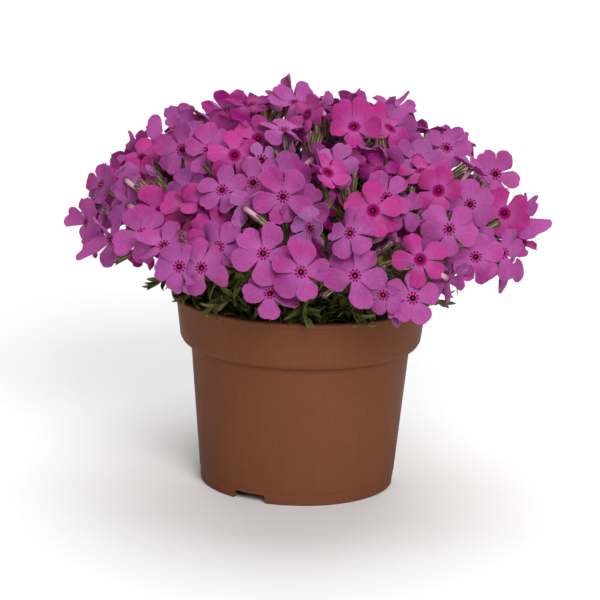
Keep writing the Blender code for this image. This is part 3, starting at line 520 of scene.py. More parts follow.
@dataclass
class Planting:
    """The rules that placed the plant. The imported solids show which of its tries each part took."""

    sight: SightLine
    dome: Dome
    seed: int = 11
    head_count: int = 27
    sharing_rounds: int = 12
    spread_count: int = 130
    spread_drop: float = 1.03
    spread_depth: Span = (0.94, 1.02)
    spread_lean: float = 0.33
    spread_swing: Span = (-0.08, 0.08)
    spread_radius: Span = (10.8 * MM, 13.2 * MM)
    spread_clear: float = 13.5 * MM
    petal_curl: Span = (-0.12, 0.08)
    petal_twist: Span = (-0.02, 0.02)
    throat_depth: float = 0.9 * MM
    bud_length: float = 9 * MM
    bud_waist: float = 1.8 * MM
    core_depth: float = 26 * MM
    core_lowest: float = 106 * MM
    core_height: float = 6 * MM
    core_radius: float = 3.4 * MM
    core_lean: Span = (0.8, 0.5)
    soil_top: float = 80 * MM
    gap: float = 0.3 * MM
    hole_depth: float = 9 * MM
    stem_radius: float = 1.3 * MM
    stem_sides: int = 4
    stem_straight: float = 2 * MM
    stem_points: int = 6
    stem_hold: float = 0.4
    root_share: float = 0.6
    root_reach: float = 44 * MM
    root_swings: Row = (0, 7, -7, 14, -14, 21, -21)
    leaf_length: Span = (10 * MM, 15 * MM)
    leaf_sunk: float = 0.5 * MM
    leaf_leans: Span = (0.75, 0.35)
    leaf_swings: Row = (0, 22, -22, 44, -44)
    leaf_scales: Row = (1.0, 0.75, 0.55)
    leaf_middle: float = 0.55
    stem_leaves: Span = (0.72, 0.88)
    shoot_leaves: Span = (0.45, 0.95)
    shoot_from: float = 48 * MM
    shoot_length: float = 26 * MM
    shoot_swings: Row = (20, -20, 40, -40, 0, 55, -55)
    shoot_rises: Row = (-0.25, 0.1, 0.4)
    shoot_middle: Span = (0.8, 0.35)
    shoot_end: float = 0.95
    bud_foot: float = 0.4
    bud_neck: float = 0.68
    bud_stalk: float = 0.7 * MM
    bud_tilts: Row = (0.55, 0.85, 1.1)
    bud_reaches: Row = (27 * MM, 23 * MM, 19 * MM)
    bud_turns: int = 9
    lower_count: int = 80
    lower_depth: Span = (0.68, 0.80)
    lower_lean: float = 0.3
    lower_radius: Span = (10 * MM, 13 * MM)
    lower_clear: float = 10 * MM
    # The share of lower blooms given the dark tone as painted shade.
    lower_painted_shade_share: float = 0.6
    lower_turn: float = 1.0

    def __post_init__(self) -> None:
        """Starts the row of random draws, and one of its own for the tones by rule."""
        self.draw = np.random.default_rng(self.seed)
        self.tint_draw = np.random.default_rng(self.seed + 1)

    def grow(self) -> list[Head]:
        """Places the whole plant.

        Returns:
            Its heads, with their blooms and twigs.
        """
        wanted = self.seen_blooms()
        wanted += self.spread_blooms(wanted)
        heads = self.plant_heads(self.gather(wanted))
        self.settle(wanted, heads)
        self.grow_twigs(heads)
        self.fill_below(heads)
        return heads

    def bent(self) -> Span:
        """Draws how far a bloom's petals curl and twist."""
        return self.draw.uniform(*self.petal_curl), self.draw.uniform(*self.petal_twist)

    def seen_blooms(self) -> list[Bloom]:
        """Lays the pictured blooms and buds on the dome.

        Returns:
            The blooms, free to slide along the sight line.
        """
        blooms = []
        sight, toward = self.sight, self.sight.axes()[2]
        for px, py, right_share, up_share, side, radius, degrees, depth, tone in SEEN:
            turn = self.draw.uniform(0, 360)
            facing = sight.facing(right_share, up_share, side)
            petal = sight.petal(facing, turn if degrees is None else degrees)
            centre = self.dome.meet(sight, px, py, depth)
            made = Bloom(centre, facing, petal, radius * MM, *self.bent(), slide=toward, tone=Tone(tone))
            blooms.append(made)
        for px, py, right_share, up_share in SEEN_BUDS:
            facing = sight.facing(right_share, up_share, 1)
            centre = self.dome.meet(sight, px, py, 1.0)
            made = Bloom(centre, facing, sight.petal(facing, 0), self.bud_length, bud=True, slide=toward)
            blooms.append(made)
        return blooms

    def spread_blooms(self, taken: Sequence[Bloom]) -> list[Bloom]:
        """Lays blooms by rule over the whole dome, wherever the pictured ones leave room.

        Args:
            taken: The pictured ones.

        Returns:
            The added blooms.
        """
        blooms = []
        for i in range(self.spread_count):
            height = 1 - (i + 0.5) / self.spread_count * self.spread_drop
            ring = math.sqrt(max(1 - height * height, 0.0))
            bearing = i * GOLDEN_TURN + self.draw.uniform(*self.spread_swing)
            depth = self.draw.uniform(*self.spread_depth)
            across = Vector((ring * math.cos(bearing), ring * math.sin(bearing)))
            across *= self.dome.radius * depth
            across.y *= self.dome.back_reach if across.y > 0 else 1.0
            rise = Vector((across.x, across.y, height * self.dome.rise * depth))
            centre = self.dome.centre() + rise
            lean = Vector(self.draw.normal(0, self.spread_lean, 3))
            petal = Vector(self.draw.normal(0, 1, 3))
            radius = self.draw.uniform(*self.spread_radius)
            bent = self.bent()
            slide = self.dome.outward(centre)
            if all((centre - other.centre).length > self.spread_clear for other in taken):
                facing = (slide + lean).normalized()
                made = Bloom(centre, facing, petal, radius, *bent, slide=slide, tone=self.drawn_tone())
                blooms.append(made)
        return blooms

    def drawn_tone(self) -> Tone:
        """Draws a tone, as common as it is among the pictured blooms."""
        return self.tint_draw.choice([Tone(row[-1]) for row in SEEN])

    def gather(self, blooms: Sequence[Bloom]) -> list[Vector]:
        """Shares the blooms among the heads, nearest first.

        Args:
            blooms: All the blooms.

        Returns:
            Each head's core.
        """
        places = np.array([bloom.centre for bloom in blooms])
        numbers = np.arange(self.head_count)
        heights = 1 - (numbers + 0.5) / self.head_count
        rings = np.sqrt(1 - heights**2) * self.dome.radius
        bearings = numbers * GOLDEN_TURN
        middles = np.column_stack(
            (rings * np.cos(bearings), rings * np.sin(bearings), heights * self.dome.rise)
        )
        middles += np.array(self.dome.centre())
        for _ in range(self.sharing_rounds):
            nearest = np.linalg.norm(places[:, None] - middles[None], axis=2).argmin(axis=1)
            middles = np.array([places[nearest == head].mean(axis=0) for head in numbers])
        for bloom, head in zip(blooms, nearest):
            bloom.head = int(head)
        cores = []
        for middle in map(Vector, middles):
            core = middle - self.dome.outward(middle) * self.core_depth
            core.z = max(core.z, self.core_lowest)
            cores.append(core)
        return cores

    def plant_heads(self, cores: Path) -> list[Head]:
        """Gives each core its stem, up out of its hole and over the rim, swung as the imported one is.

        Args:
            cores: The cores.

        Returns:
            The heads.
        """
        heads = []
        outward, upward = self.core_lean
        for number, core in enumerate(cores, start=1):
            axis = (self.dome.outward(core) * outward + UP * upward).normalized()
            head = Head(number, core, axis)
            solid = PackedSolid(head.stem_node)
            side = Vector((core.x, core.y, 0.0))
            for swing in self.root_swings:
                root = side.normalized() * min(side.length * self.root_share, self.root_reach)
                root.rotate(Quaternion(UP, math.radians(swing)))
                foot = root + UP * (self.soil_top - self.hole_depth + self.gap)
                if solid.has(foot, self.stem_radius, self.stem_sides):
                    break
            mouth = root + UP * (self.soil_top + self.stem_straight)
            end = core - axis * (self.core_height / 2 + self.gap)
            hold = (end - mouth).length * self.stem_hold
            path = bezier((mouth, mouth + UP * hold, end - axis * hold, end), self.stem_points)
            head.stem = [foot, *path]
            heads.append(head)
        return heads

    def settle(self, wanted: Sequence[Bloom], heads: Sequence[Head]) -> None:
        """Finds each bloom in its packed head, and leaves out what isn't there.

        Args:
            wanted: The blooms where they were wanted.
            heads: The heads, which take them.
        """
        solids = [PackedSolid(head.flower_node) for head in heads]
        moves = Move.all()
        for bloom in wanted:
            head, solid = heads[bloom.head], solids[bloom.head]
            trials = (bloom.moved(move, head.core) for move in moves)
            found = next((trial for trial in trials if self.is_packed(trial, solid)), None)
            if found:
                head.blooms.append(found)

    def is_packed(self, bloom: Bloom, solid: PackedSolid) -> bool:
        """Looks for a bloom's throat and a petal's tip, or a bud's waist.

        Args:
            bloom: The bloom.
            solid: Its head's solid.

        Returns:
            Whether they are there.
        """
        if bloom.bud:
            return solid.has(bloom.centre - bloom.facing * bloom.radius / 2, self.bud_waist, 3)
        axes = bloom.frame()
        if not solid.has(axes @ Vector((0.0, 0.0, -self.throat_depth))):
            return False
        return solid.has(axes @ Vector((bloom.radius, 0.0, bloom.curl * bloom.radius)))

    def fill_below(self, heads: Sequence[Head]) -> None:
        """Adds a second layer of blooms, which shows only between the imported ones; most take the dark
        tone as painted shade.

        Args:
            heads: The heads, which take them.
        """
        draw, dome = self.tint_draw, self.dome
        placed = [bloom.centre for head in heads for bloom in head.blooms]
        for i in range(self.lower_count):
            depth = draw.uniform(*self.lower_depth)
            height = 1 - (i + 0.5) / self.lower_count
            ring = math.sqrt(max(1 - height * height, 0.0)) * dome.radius * depth
            bearing = i * GOLDEN_TURN + self.lower_turn
            rise = height * dome.rise * depth
            centre = dome.centre() + Vector((ring * math.cos(bearing), ring * math.sin(bearing), rise))
            facing = (dome.outward(centre) + Vector(draw.normal(0, self.lower_lean, 3))).normalized()
            petal = Vector(draw.normal(0, 1, 3))
            if min((centre - other).length for other in placed) < self.lower_clear:
                continue
            placed.append(centre)
            head = min(heads, key=lambda head: (head.core - centre).length)
            curl, radius = draw.uniform(*self.petal_curl), draw.uniform(*self.lower_radius)
            # Painted shade: most lower blooms take the dark tone, for the shade between the upper blooms.
            tone = Tone.DARK if draw.uniform() < self.lower_painted_shade_share else self.drawn_tone()
            bloom = Bloom(centre, facing, petal, radius, curl, tone=tone)
            head.blooms.append(bloom.turned_from(head.core))

    def grow_twigs(self, heads: Sequence[Head]) -> None:
        """Finds the buds, side shoots and leaves of every stem.

        Args:
            heads: The heads, which take them.
        """
        solids = [PackedSolid(head.stem_node) for head in heads]
        for head, solid in zip(heads, solids):
            self.add_bud(head, solid)
        for head, solid in zip(heads, solids):
            if Vector((head.core.x, head.core.y)).length > self.shoot_from:
                self.add_shoot(head, solid)
        for head, solid in zip(heads, solids):
            self.add_leaves(head, solid, head.stem[1:], 1, self.stem_leaves)

    def add_bud(self, head: Head, solid: PackedSolid) -> None:
        """Finds a head's green bud, which reaches out between the blooms.

        Args:
            head: The head.
            solid: Its packed stem.
        """
        start = self.draw.uniform(0, math.tau)
        base = head.stem[-1].lerp(head.stem[-2], self.bud_foot)
        for tilt, reach, turn in itertools.product(self.bud_tilts, self.bud_reaches, range(self.bud_turns)):
            out = around(head.axis, start + turn * math.tau / self.bud_turns)
            way = (head.axis * math.cos(tilt) + out * math.sin(tilt)).normalized()
            tip = head.core + way * reach
            if solid.has(tip):
                shoulder = head.core + out * (self.core_radius + 2 * self.bud_stalk)
                neck = head.core + way * reach * self.bud_neck + out * self.bud_stalk
                head.bud = [base, shoulder, neck, tip]
                return

    def add_shoot(self, head: Head, solid: PackedSolid) -> None:
        """Finds a head's side shoot, which leans out over the rim, and its leaves.

        Args:
            head: The head.
            solid: Its packed stem.
        """
        way = Vector((head.core.x, head.core.y, 0.0)).normalized()
        base = head.stem[2]
        half = self.shoot_length / 2
        ahead, lift = self.shoot_middle
        for swing, rise in itertools.product(self.shoot_swings, self.shoot_rises):
            out = Quaternion(UP, math.radians(swing)) @ way
            middle = base + (out * ahead + UP * lift) * half
            tip = middle + (out * self.shoot_end + UP * rise) * half
            if solid.has(tip):
                head.shoot = [base, middle, tip]
                self.add_leaves(head, solid, head.shoot, 2, self.shoot_leaves)
                return

    def add_leaves(self, head: Head, solid: PackedSolid, path: Path, pairs: int, span: Span) -> None:
        """Finds opposite leaves in crossed pairs along a path.

        Args:
            head: The head, which takes them.
            solid: Its packed stem.
            path: What they grow from.
            pairs: How many pairs there are.
            span: Where they stand, in shares of the path.
        """
        lengths = np.cumsum([0.0] + [(b - a).length for a, b in zip(path, path[1:])])
        turn = self.draw.uniform(0, math.pi)
        tries = tuple(itertools.product(self.leaf_swings, self.leaf_scales))
        for k in range(pairs):
            reach = lengths[-1] * (span[0] + (span[1] - span[0]) * k / max(pairs - 1, 1))
            i = min(int(np.searchsorted(lengths, reach, side="right")) - 1, len(path) - 2)
            base = path[i].lerp(path[i + 1], (reach - lengths[i]) / (lengths[i + 1] - lengths[i]))
            along = (path[i + 1] - path[i]).normalized()
            length = self.draw.uniform(*self.leaf_length)
            for side, (swing, scale) in itertools.product((0.0, math.pi), tries):
                out = around(along, turn + side + k * math.pi / 2 + math.radians(swing))
                leaf = arched(base, along, out, length * scale, self.leaf_leans, self.leaf_middle)
                if solid.has(leaf[-1]):
                    head.leaves.append([base + out * self.leaf_sunk, *leaf[1:]])


class Desk:
    """Lays out one node tree: adds nodes, wires or sets their inputs, and hands back their outputs."""

    def __init__(self, tree: ShaderNodeTree) -> None:
        """Takes the tree."""
        self.tree = tree

    def node(self, kind: str, inputs: dict | None = None, **settings: object) -> ShaderNode:
        """Adds a node.

        Args:
            kind: Its type, without the word ShaderNode.
            inputs: What goes into its sockets, by name or number: another node's output, or a value.
            **settings: Its own settings.

        Returns:
            The node.
        """
        made = self.tree.nodes.new(f"ShaderNode{kind}")
        for name, value in settings.items():
            setattr(made, name, value)
        for name, value in (inputs or {}).items():
            if isinstance(value, NodeSocket):
                self.tree.links.new(value, made.inputs[name])
            else:
                made.inputs[name].default_value = value
        return made

    def attribute(self, name: str, output: str = "Fac") -> NodeSocket:
        """An attribute of the mesh, by name."""
        return self.node("Attribute", attribute_name=name).outputs[output]

    def place(self) -> NodeSocket:
        """The object's own coordinates."""
        return self.node("TexCoord").outputs["Object"]

    def parts(self, vector: NodeSocket) -> tuple[NodeSocket, ...]:
        """A vector's three parts."""
        return tuple(self.node("SeparateXYZ", {0: vector}).outputs)

    def combine(self, *values: Value) -> NodeSocket:
        """A vector from its parts, where a missing one is nought."""
        return self.node("CombineXYZ", dict(enumerate(values))).outputs[0]

    def length(self, vector: NodeSocket) -> NodeSocket:
        """A vector's length."""
        return self.node("VectorMath", {0: vector}, operation="LENGTH").outputs["Value"]

    def sum(self, operation: str, *values: Value) -> NodeSocket:
        """One step of arithmetic."""
        return self.node("Math", dict(enumerate(values)), operation=operation).outputs[0]

    def times(self, first: Value, second: Value) -> NodeSocket:
        """The product of two values."""
        return self.sum("MULTIPLY", first, second)

    def mix(self, share: Value, first: object, second: object, blend: str = "MIX") -> NodeSocket:
        """Mixes a share of a second colour into a first, or blends it over it."""
        inputs = {0: share, 6: self.opaque(first), 7: self.opaque(second)}
        return self.node("Mix", inputs, data_type="RGBA", blend_type=blend).outputs[2]

    def shaded(self, colour: object, shade: NodeSocket) -> NodeSocket:
        """Multiplies a colour by a shade that varies over the surface."""
        return self.mix(1.0, colour, self.combine(shade, shade, shade), "MULTIPLY")

    @staticmethod
    def opaque(colour: object) -> object:
        """A colour with its alpha, or a socket as it is."""
        return colour if isinstance(colour, NodeSocket) else (*colour, 1.0)

    def ramp(self, value: NodeSocket, low: float, high: float, top: float = 1.0) -> NodeSocket:
        """Eases from nothing to a top value.

        Args:
            value: What is read.
            low: Where nothing is given. It may be above high.
            high: Where the top value is given.
            top: The top value.

        Returns:
            The eased value.
        """
        (start, first), (end, last) = sorted(((low, 0.0), (high, top)))
        inputs = {"Value": value, "From Min": start, "From Max": end, "To Min": first, "To Max": last}
        return self.node("MapRange", inputs, interpolation_type="SMOOTHSTEP").outputs[0]

    def noise(self, vector: NodeSocket, scale: Value, detail: float = 2.0) -> NodeSocket:
        """Soft noise round one half."""
        inputs = {"Vector": vector, "Scale": scale, "Detail": detail}
        return self.node("TexNoise", inputs).outputs["Fac"]

    def noises(self, place: Value, scale: Value, finer: float, detail: float, share: float) -> NodeSocket:
        """Blends a noise with a finer one.

        Args:
            place: The place.
            scale: The first noise's scale.
            finer: How many times finer the second one is.
            detail: The first one's detail.
            share: How much of the first one there is.

        Returns:
            The blend.
        """
        coarse = self.noise(place, scale, detail)
        fine = self.noise(place, self.times(scale, finer), 1.0)
        return self.sum("ADD", self.times(coarse, share), self.times(fine, 1 - share))

    def group(self, tree: ShaderNodeTree, **inputs: Value) -> tuple[NodeSocket, NodeSocket]:
        """The shade and the height that a node group gives from its own values."""
        made = self.node("Group", inputs, node_tree=tree)
        return made.outputs["Shade"], made.outputs["Height"]

    def end_group(self, shade: NodeSocket, height: NodeSocket) -> ShaderNodeTree:
        """Ends a node group.

        Args:
            shade: Its shade.
            height: Its height.

        Returns:
            The group.
        """
        end = self.tree.nodes.new("NodeGroupOutput")
        for value, socket in zip((shade, height), end.inputs):
            self.tree.links.new(value, socket)
        return self.tree

    def shader(self, colour: object, height: NodeSocket | None, relief: float, **more: object) -> None:
        """Ends a material with a Principled shader.

        Args:
            colour: The base colour.
            height: The relief, from nothing to one.
            relief: The depth of the relief, in metres.
            **more: More of the shader's inputs, with _ for each space.
        """
        inputs = {"Base Color": self.opaque(colour), "Metallic": 0.0}
        inputs |= {name.replace("_", " "): value for name, value in more.items()}
        if height:
            bump = self.node("Bump", {"Height": height, "Strength": 1.0, "Distance": relief})
            inputs["Normal"] = bump.outputs[0]
        shader = self.node("BsdfPrincipled", inputs)
        self.node("OutputMaterial", {"Surface": shader.outputs[0]})


def new_group(name: str, *inputs: str) -> tuple[Desk, list[NodeSocket]]:
    """Starts a node group that gives a shade and a height.

    Args:
        name: The group's name.
        *inputs: The names of its inputs: Vector is a vector, and the rest are numbers.

    Returns:
        Its desk and its inputs.
    """
    tree = bpy.data.node_groups.new(name, "ShaderNodeTree")
    for label in inputs:
        kind = "NodeSocketVector" if label == "Vector" else "NodeSocketFloat"
        tree.interface.new_socket(label, in_out="INPUT", socket_type=kind)
    for label in ("Shade", "Height"):
        tree.interface.new_socket(label, in_out="OUTPUT", socket_type="NodeSocketFloat")
    entry = tree.nodes.new("NodeGroupInput")
    return Desk(tree), [entry.outputs[label] for label in inputs]


@functools.cache
def speckle() -> ShaderNodeTree:
    """Builds the group for a fine mottled surface.

    Returns:
        A group whose Shade varies by Amount round one.
    """
    desk, (vector, scale, amount) = new_group("speckle", "Vector", "Scale", "Amount")
    height = desk.noises(vector, scale, finer=5.3, detail=3.0, share=0.65)
    swing = desk.times(desk.sum("SUBTRACT", height, 0.5), 4.0)
    return desk.end_group(desk.sum("MULTIPLY_ADD", swing, amount, 1.0), height)


@functools.cache
def streaks() -> ShaderNodeTree:
    """Builds the group for veins, ribs and moulding lines.

    Returns:
        A group whose Shade dips by Depth along the lines of a stretched vector.
    """
    desk, (vector, fineness, depth) = new_group("streaks", "Vector", "Fineness", "Depth")
    both = desk.noises(vector, fineness, finer=2.7, detail=1.0, share=0.6)
    height = desk.ramp(both, low=0.36, high=0.64)
    return desk.end_group(desk.sum("SUBTRACT", 1.0, desk.times(height, depth)), height)


@dataclass(frozen=True)
class Finish:
    """A surface finish, made into a material once."""

    name: str

    def lay(self, desk: Desk) -> None:
        """Lays out the material's nodes; each finish has its own."""
        raise NotImplementedError

    @functools.cache
    def material(self) -> Material:
        """Builds the material.

        Returns:
            The material, the same one at each call.
        """
        made = bpy.data.materials.new(self.name)
        made.use_nodes = True
        made.node_tree.nodes.clear()
        self.lay(Desk(made.node_tree))
        return made


@dataclass(frozen=True)
class PetalFinish(Finish):
    """Petal skin: radial veins, a pale middle, a ring of crimson marks, painted shade at the throat, and a
    duller lower side.

    The mesh gives each point's distance across and along its petal in millimetres, which side it is
    on, and the bloom's tint, whose alpha says how far the marks run together into a crimson eye. An
    edge is where something begins and where it is in full.
    """

    pale: Colour = (0.46, 0.14, 0.40)
    back: Colour = (0.42, 0.10, 0.35)
    flush: Colour = (0.40, 0.020, 0.20)
    mark: Colour = (0.27, 0.0, 0.115)
    # Near-black painted shade where the petals dip into the throat.
    ring: Colour = (0.13, 0.0, 0.04)
    glow_through: Colour = (1.0, 0.04, 0.7)
    fan: Triple = (3.2, 0.05, 60.0)
    flush_scale: float = 55.0
    flush_edge: Span = (0.46, 0.7)
    flush_reach: Span = (4.0, 11.0)
    flush_share: float = 0.5
    middle_edge: Span = (8.5, 1.5)
    middle_share: float = 0.4
    midline_edge: Span = (0.1, 0.0)
    midline_share: float = 0.12
    throat_shade_edge: Span = (1.75, 1.25)
    eye_edge: Span = (3.6, 2.0)
    mark_edge: Span = (1.25, 0.7)
    mark_place: Span = (0.66, 2.15)
    mark_size: Span = (0.48, 0.72)
    back_share: float = 0.5
    vein_depth: float = -0.7

    def lay(self, desk: Desk) -> None:
        """Lays out the nodes.

        Args:
            desk: Its desk.
        """
        across, along, under = map(desk.attribute, ("across", "along", "under"))
        above = desk.sum("SUBTRACT", 1.0, under)
        reach = desk.length(desk.combine(across, along))
        bearing = desk.sum("ARCTAN2", across, along)
        drift = desk.parts(desk.place())[0]
        fan = desk.combine(*map(desk.times, (bearing, reach, drift), self.fan))
        vein, ridge = desk.group(streaks(), Vector=fan, Fineness=5.0, Depth=0.16)
        mottle, grain = desk.group(speckle(), Vector=desk.place(), Scale=160.0, Amount=0.07)
        patches = desk.ramp(desk.noise(desk.place(), self.flush_scale), *self.flush_edge, self.flush_share)
        patches = desk.times(patches, desk.ramp(reach, *self.flush_reach))
        skin = desk.mix(patches, desk.attribute("tint", "Color"), self.flush)
        skin = desk.shaded(desk.shaded(skin, vein), mottle)
        middle = desk.ramp(reach, *self.middle_edge, self.middle_share)
        midline = desk.ramp(bearing, *self.midline_edge, self.midline_share)
        face = desk.mix(desk.sum("MAXIMUM", middle, midline), skin, self.pale)
        offsets = []
        place = (desk.sum("ABSOLUTE", across), along)
        for value, middle, size in zip(place, self.mark_place, self.mark_size):
            offsets.append(desk.sum("DIVIDE", desk.sum("SUBTRACT", value, middle), size))
        spot = desk.ramp(desk.length(desk.combine(*offsets)), *self.mark_edge)
        eye = desk.times(desk.ramp(reach, *self.eye_edge), desk.attribute("tint", "Alpha"))
        face = desk.mix(desk.times(desk.sum("MAXIMUM", spot, eye), above), face, self.mark)
        # Painted shade: the petals darken to near black round the throat's opening.
        face = desk.mix(desk.times(desk.ramp(reach, *self.throat_shade_edge), above), face, self.ring)
        colour = desk.mix(under, face, desk.mix(self.back_share, skin, self.back))
        height = desk.sum("ADD", desk.times(ridge, self.vein_depth), grain)
        desk.shader(
            colour, height, relief=0.12 * MM, Roughness=0.6, Specular_IOR_Level=0.06,
            Subsurface_Weight=0.35, Subsurface_Scale=1.2 * MM, Subsurface_Radius=self.glow_through,
        )


@dataclass(frozen=True)
class TubeFinish(Finish):
    """The corolla's tube: pink cream outside, greener towards its foot, and near-black painted shade
    inside.
    """

    mouth: Colour = (0.60, 0.30, 0.40)
    foot: Colour = (0.50, 0.42, 0.28)
    # Painted shade for the inside of the tube.
    inside: Colour = (0.05, 0.0, 0.014)
    foot_edge: Span = (0.1, 0.9)

    def lay(self, desk: Desk) -> None:
        """Lays out the nodes.

        Args:
            desk: Its desk.
        """
        shade, height = desk.group(speckle(), Vector=desk.place(), Scale=300.0, Amount=0.08)
        outside = desk.mix(desk.ramp(desk.attribute("along"), *self.foot_edge), self.mouth, self.foot)
        # The inner rings take the painted shade.
        colour = desk.mix(desk.attribute("under"), desk.shaded(outside, shade), self.inside)
        desk.shader(colour, height, relief=0.05 * MM, Roughness=0.55, Specular_IOR_Level=0.3)


@dataclass(frozen=True)
class CalyxFinish(Finish):
    """A calyx: brown-green ribs with pale skin between them, and purplish tips."""

    rib: Colour = (0.10, 0.105, 0.030)
    skin: Colour = (0.40, 0.35, 0.17)
    tip: Colour = (0.12, 0.035, 0.06)
    rib_edge: Span = (0.15, 0.6)
    tip_edge: Span = (0.62, 1.0)
    tip_share: float = 0.6

    def lay(self, desk: Desk) -> None:
        """Lays out the nodes.

        Args:
            desk: Its desk.
        """
        shade, height = desk.group(speckle(), Vector=desk.place(), Scale=420.0, Amount=0.16)
        colour = desk.mix(desk.ramp(desk.attribute("across"), *self.rib_edge), self.skin, self.rib)
        tips = desk.ramp(desk.attribute("along"), *self.tip_edge, self.tip_share)
        colour = desk.shaded(desk.mix(tips, colour, self.tip), shade)
        desk.shader(colour, height, relief=0.08 * MM, Roughness=0.55, Specular_IOR_Level=0.35)


@dataclass(frozen=True)
class LeafFinish(Finish):
    """Leaf skin: tinted leaf by leaf, with a lighter midrib and a paler lower side."""

    rib: Colour = (0.20, 0.22, 0.055)
    back: Colour = (0.12, 0.14, 0.040)
    slant: float = 0.2
    rib_edge: Span = (0.16, 0.02)
    rib_share: float = 0.55
    back_share: float = 0.6

    def lay(self, desk: Desk) -> None:
        """Lays out the nodes.

        Args:
            desk: Its desk.
        """
        across, along, under = map(desk.attribute, ("across", "along", "under"))
        slant = desk.combine(across, desk.sum("SUBTRACT", along, desk.times(across, self.slant)))
        vein, _ = desk.group(streaks(), Vector=slant, Fineness=6.0, Depth=0.2)
        mottle, height = desk.group(speckle(), Vector=desk.place(), Scale=260.0, Amount=0.14)
        colour = desk.shaded(desk.shaded(desk.attribute("tint", "Color"), vein), mottle)
        rib = desk.ramp(desk.sum("ABSOLUTE", across), *self.rib_edge, self.rib_share)
        colour = desk.mix(rib, colour, self.rib)
        colour = desk.mix(desk.times(under, self.back_share), colour, self.back)
        desk.shader(
            colour, height, relief=0.1 * MM, Roughness=0.5, Specular_IOR_Level=0.3,
            Subsurface_Weight=0.05, Subsurface_Scale=0.8 * MM,
        )


@dataclass(frozen=True)
class StemFinish(Finish):
    """Stems: brown-red and green in lengthwise streaks."""

    green: Colour = (0.13, 0.15, 0.05)
    brown: Colour = (0.15, 0.075, 0.045)
    stretch: float = 0.8
    patch_scale: float = 90.0
    patch_edge: Span = (0.4, 0.62)

    def lay(self, desk: Desk) -> None:
        """Lays out the nodes.

        Args:
            desk: Its desk.
        """
        skin = desk.combine(desk.attribute("across"), desk.times(desk.attribute("along"), self.stretch))
        line, height = desk.group(streaks(), Vector=skin, Fineness=4.0, Depth=0.25)
        patches = desk.ramp(desk.noise(desk.place(), self.patch_scale), *self.patch_edge)
        colour = desk.shaded(desk.mix(patches, self.green, self.brown), line)
        desk.shader(colour, height, relief=0.08 * MM, Roughness=0.6, Specular_IOR_Level=0.3)


@dataclass(frozen=True)
class GrainFinish(Finish):
    """A grainy matt surface, such as peat, grit or pollen, in two colours."""

    light: Colour
    dark: Colour
    scale: float
    relief: float = 0.4 * MM
    patch_coarseness: float = 0.3
    patch_edge: Span = (0.4, 0.62)

    def lay(self, desk: Desk) -> None:
        """Lays out the nodes.

        Args:
            desk: Its desk.
        """
        shade, height = desk.group(speckle(), Vector=desk.place(), Scale=self.scale, Amount=0.35)
        patches = desk.ramp(desk.noise(desk.place(), self.scale * self.patch_coarseness), *self.patch_edge)
        colour = desk.shaded(desk.mix(patches, self.dark, self.light), shade)
        desk.shader(colour, height, self.relief, Roughness=0.95, Specular_IOR_Level=0.25)


@dataclass(frozen=True)
class PlasticFinish(Finish):
    """Matt pot plastic: upright flow lines, a little scuffing, and flutes on the collar's lower half."""

    colour: Colour = (0.166, 0.058, 0.028)
    scuffed: Colour = (0.20, 0.083, 0.044)
    roughness: Span = (0.5, 0.62)
    line_stretch: float = 1.2
    line_share: float = 0.5
    scuff_scale: float = 26.0
    scuff_edge: Span = (0.42, 0.68)
    scuff_share: float = 0.14
    flute_count: float = 190.0
    flute_reach: Span = (67 * MM, 80 * MM)

    def lay(self, desk: Desk) -> None:
        """Lays out the nodes.

        Args:
            desk: Its desk.
        """
        place = desk.place()
        x, y, z = desk.parts(place)
        level = desk.node("VectorMath", {0: desk.combine(x, y)}, operation="NORMALIZE").outputs[0]
        drawn = desk.combine(*desk.parts(level)[:2], desk.times(z, self.line_stretch))
        line, ridge = desk.group(streaks(), Vector=drawn, Fineness=34.0, Depth=0.045)
        mottle, grain = desk.group(speckle(), Vector=place, Scale=900.0, Amount=0.05)
        cloud = desk.ramp(desk.noise(place, self.scuff_scale, detail=4.0), *self.scuff_edge)
        colour = desk.shaded(desk.shaded(self.colour, line), mottle)
        colour = desk.mix(desk.times(cloud, self.scuff_share), colour, self.scuffed)
        low, high = self.roughness
        roughness = desk.sum("MULTIPLY_ADD", cloud, high - low, low)
        height = desk.sum("ADD", desk.times(ridge, self.line_share), grain)
        foot, top = self.flute_reach
        band = desk.times(desk.ramp(z, top, foot), desk.sum("GREATER_THAN", z, foot))
        wave = desk.sum("SINE", desk.times(desk.sum("ARCTAN2", y, x), self.flute_count))
        height = desk.sum("ADD", height, desk.times(wave, band))
        desk.shader(colour, height, relief=0.05 * MM, Roughness=roughness, Specular_IOR_Level=0.03)


@dataclass(frozen=True)
class PlainFinish(Finish):
    """One plain colour, for the floor."""

    colour: Colour = (0.9, 0.9, 0.9)

    def lay(self, desk: Desk) -> None:
        """Lays out the material's nodes; the colour is the shader's own."""
        desk.shader(self.colour, None, relief=0.0, Roughness=0.8)


PETAL = PetalFinish("petal skin")
TUBE = TubeFinish("corolla tube")
CALYX = CalyxFinish("striped calyx")
LEAF = LeafFinish("leaf skin")
STEM = StemFinish("stem skin")
POLLEN = GrainFinish("pollen", (0.55, 0.17, 0.03), (0.34, 0.08, 0.01), 2500.0, 0.1 * MM)
PEAT = GrainFinish("peat", (0.040, 0.024, 0.015), (0.010, 0.006, 0.004), 420.0)
GRIT = GrainFinish("grit", (0.42, 0.33, 0.20), (0.26, 0.18, 0.10), 1500.0, 0.2 * MM)
PLASTIC = PlasticFinish("terracotta plastic")
FLOOR = PlainFinish("pale floor")


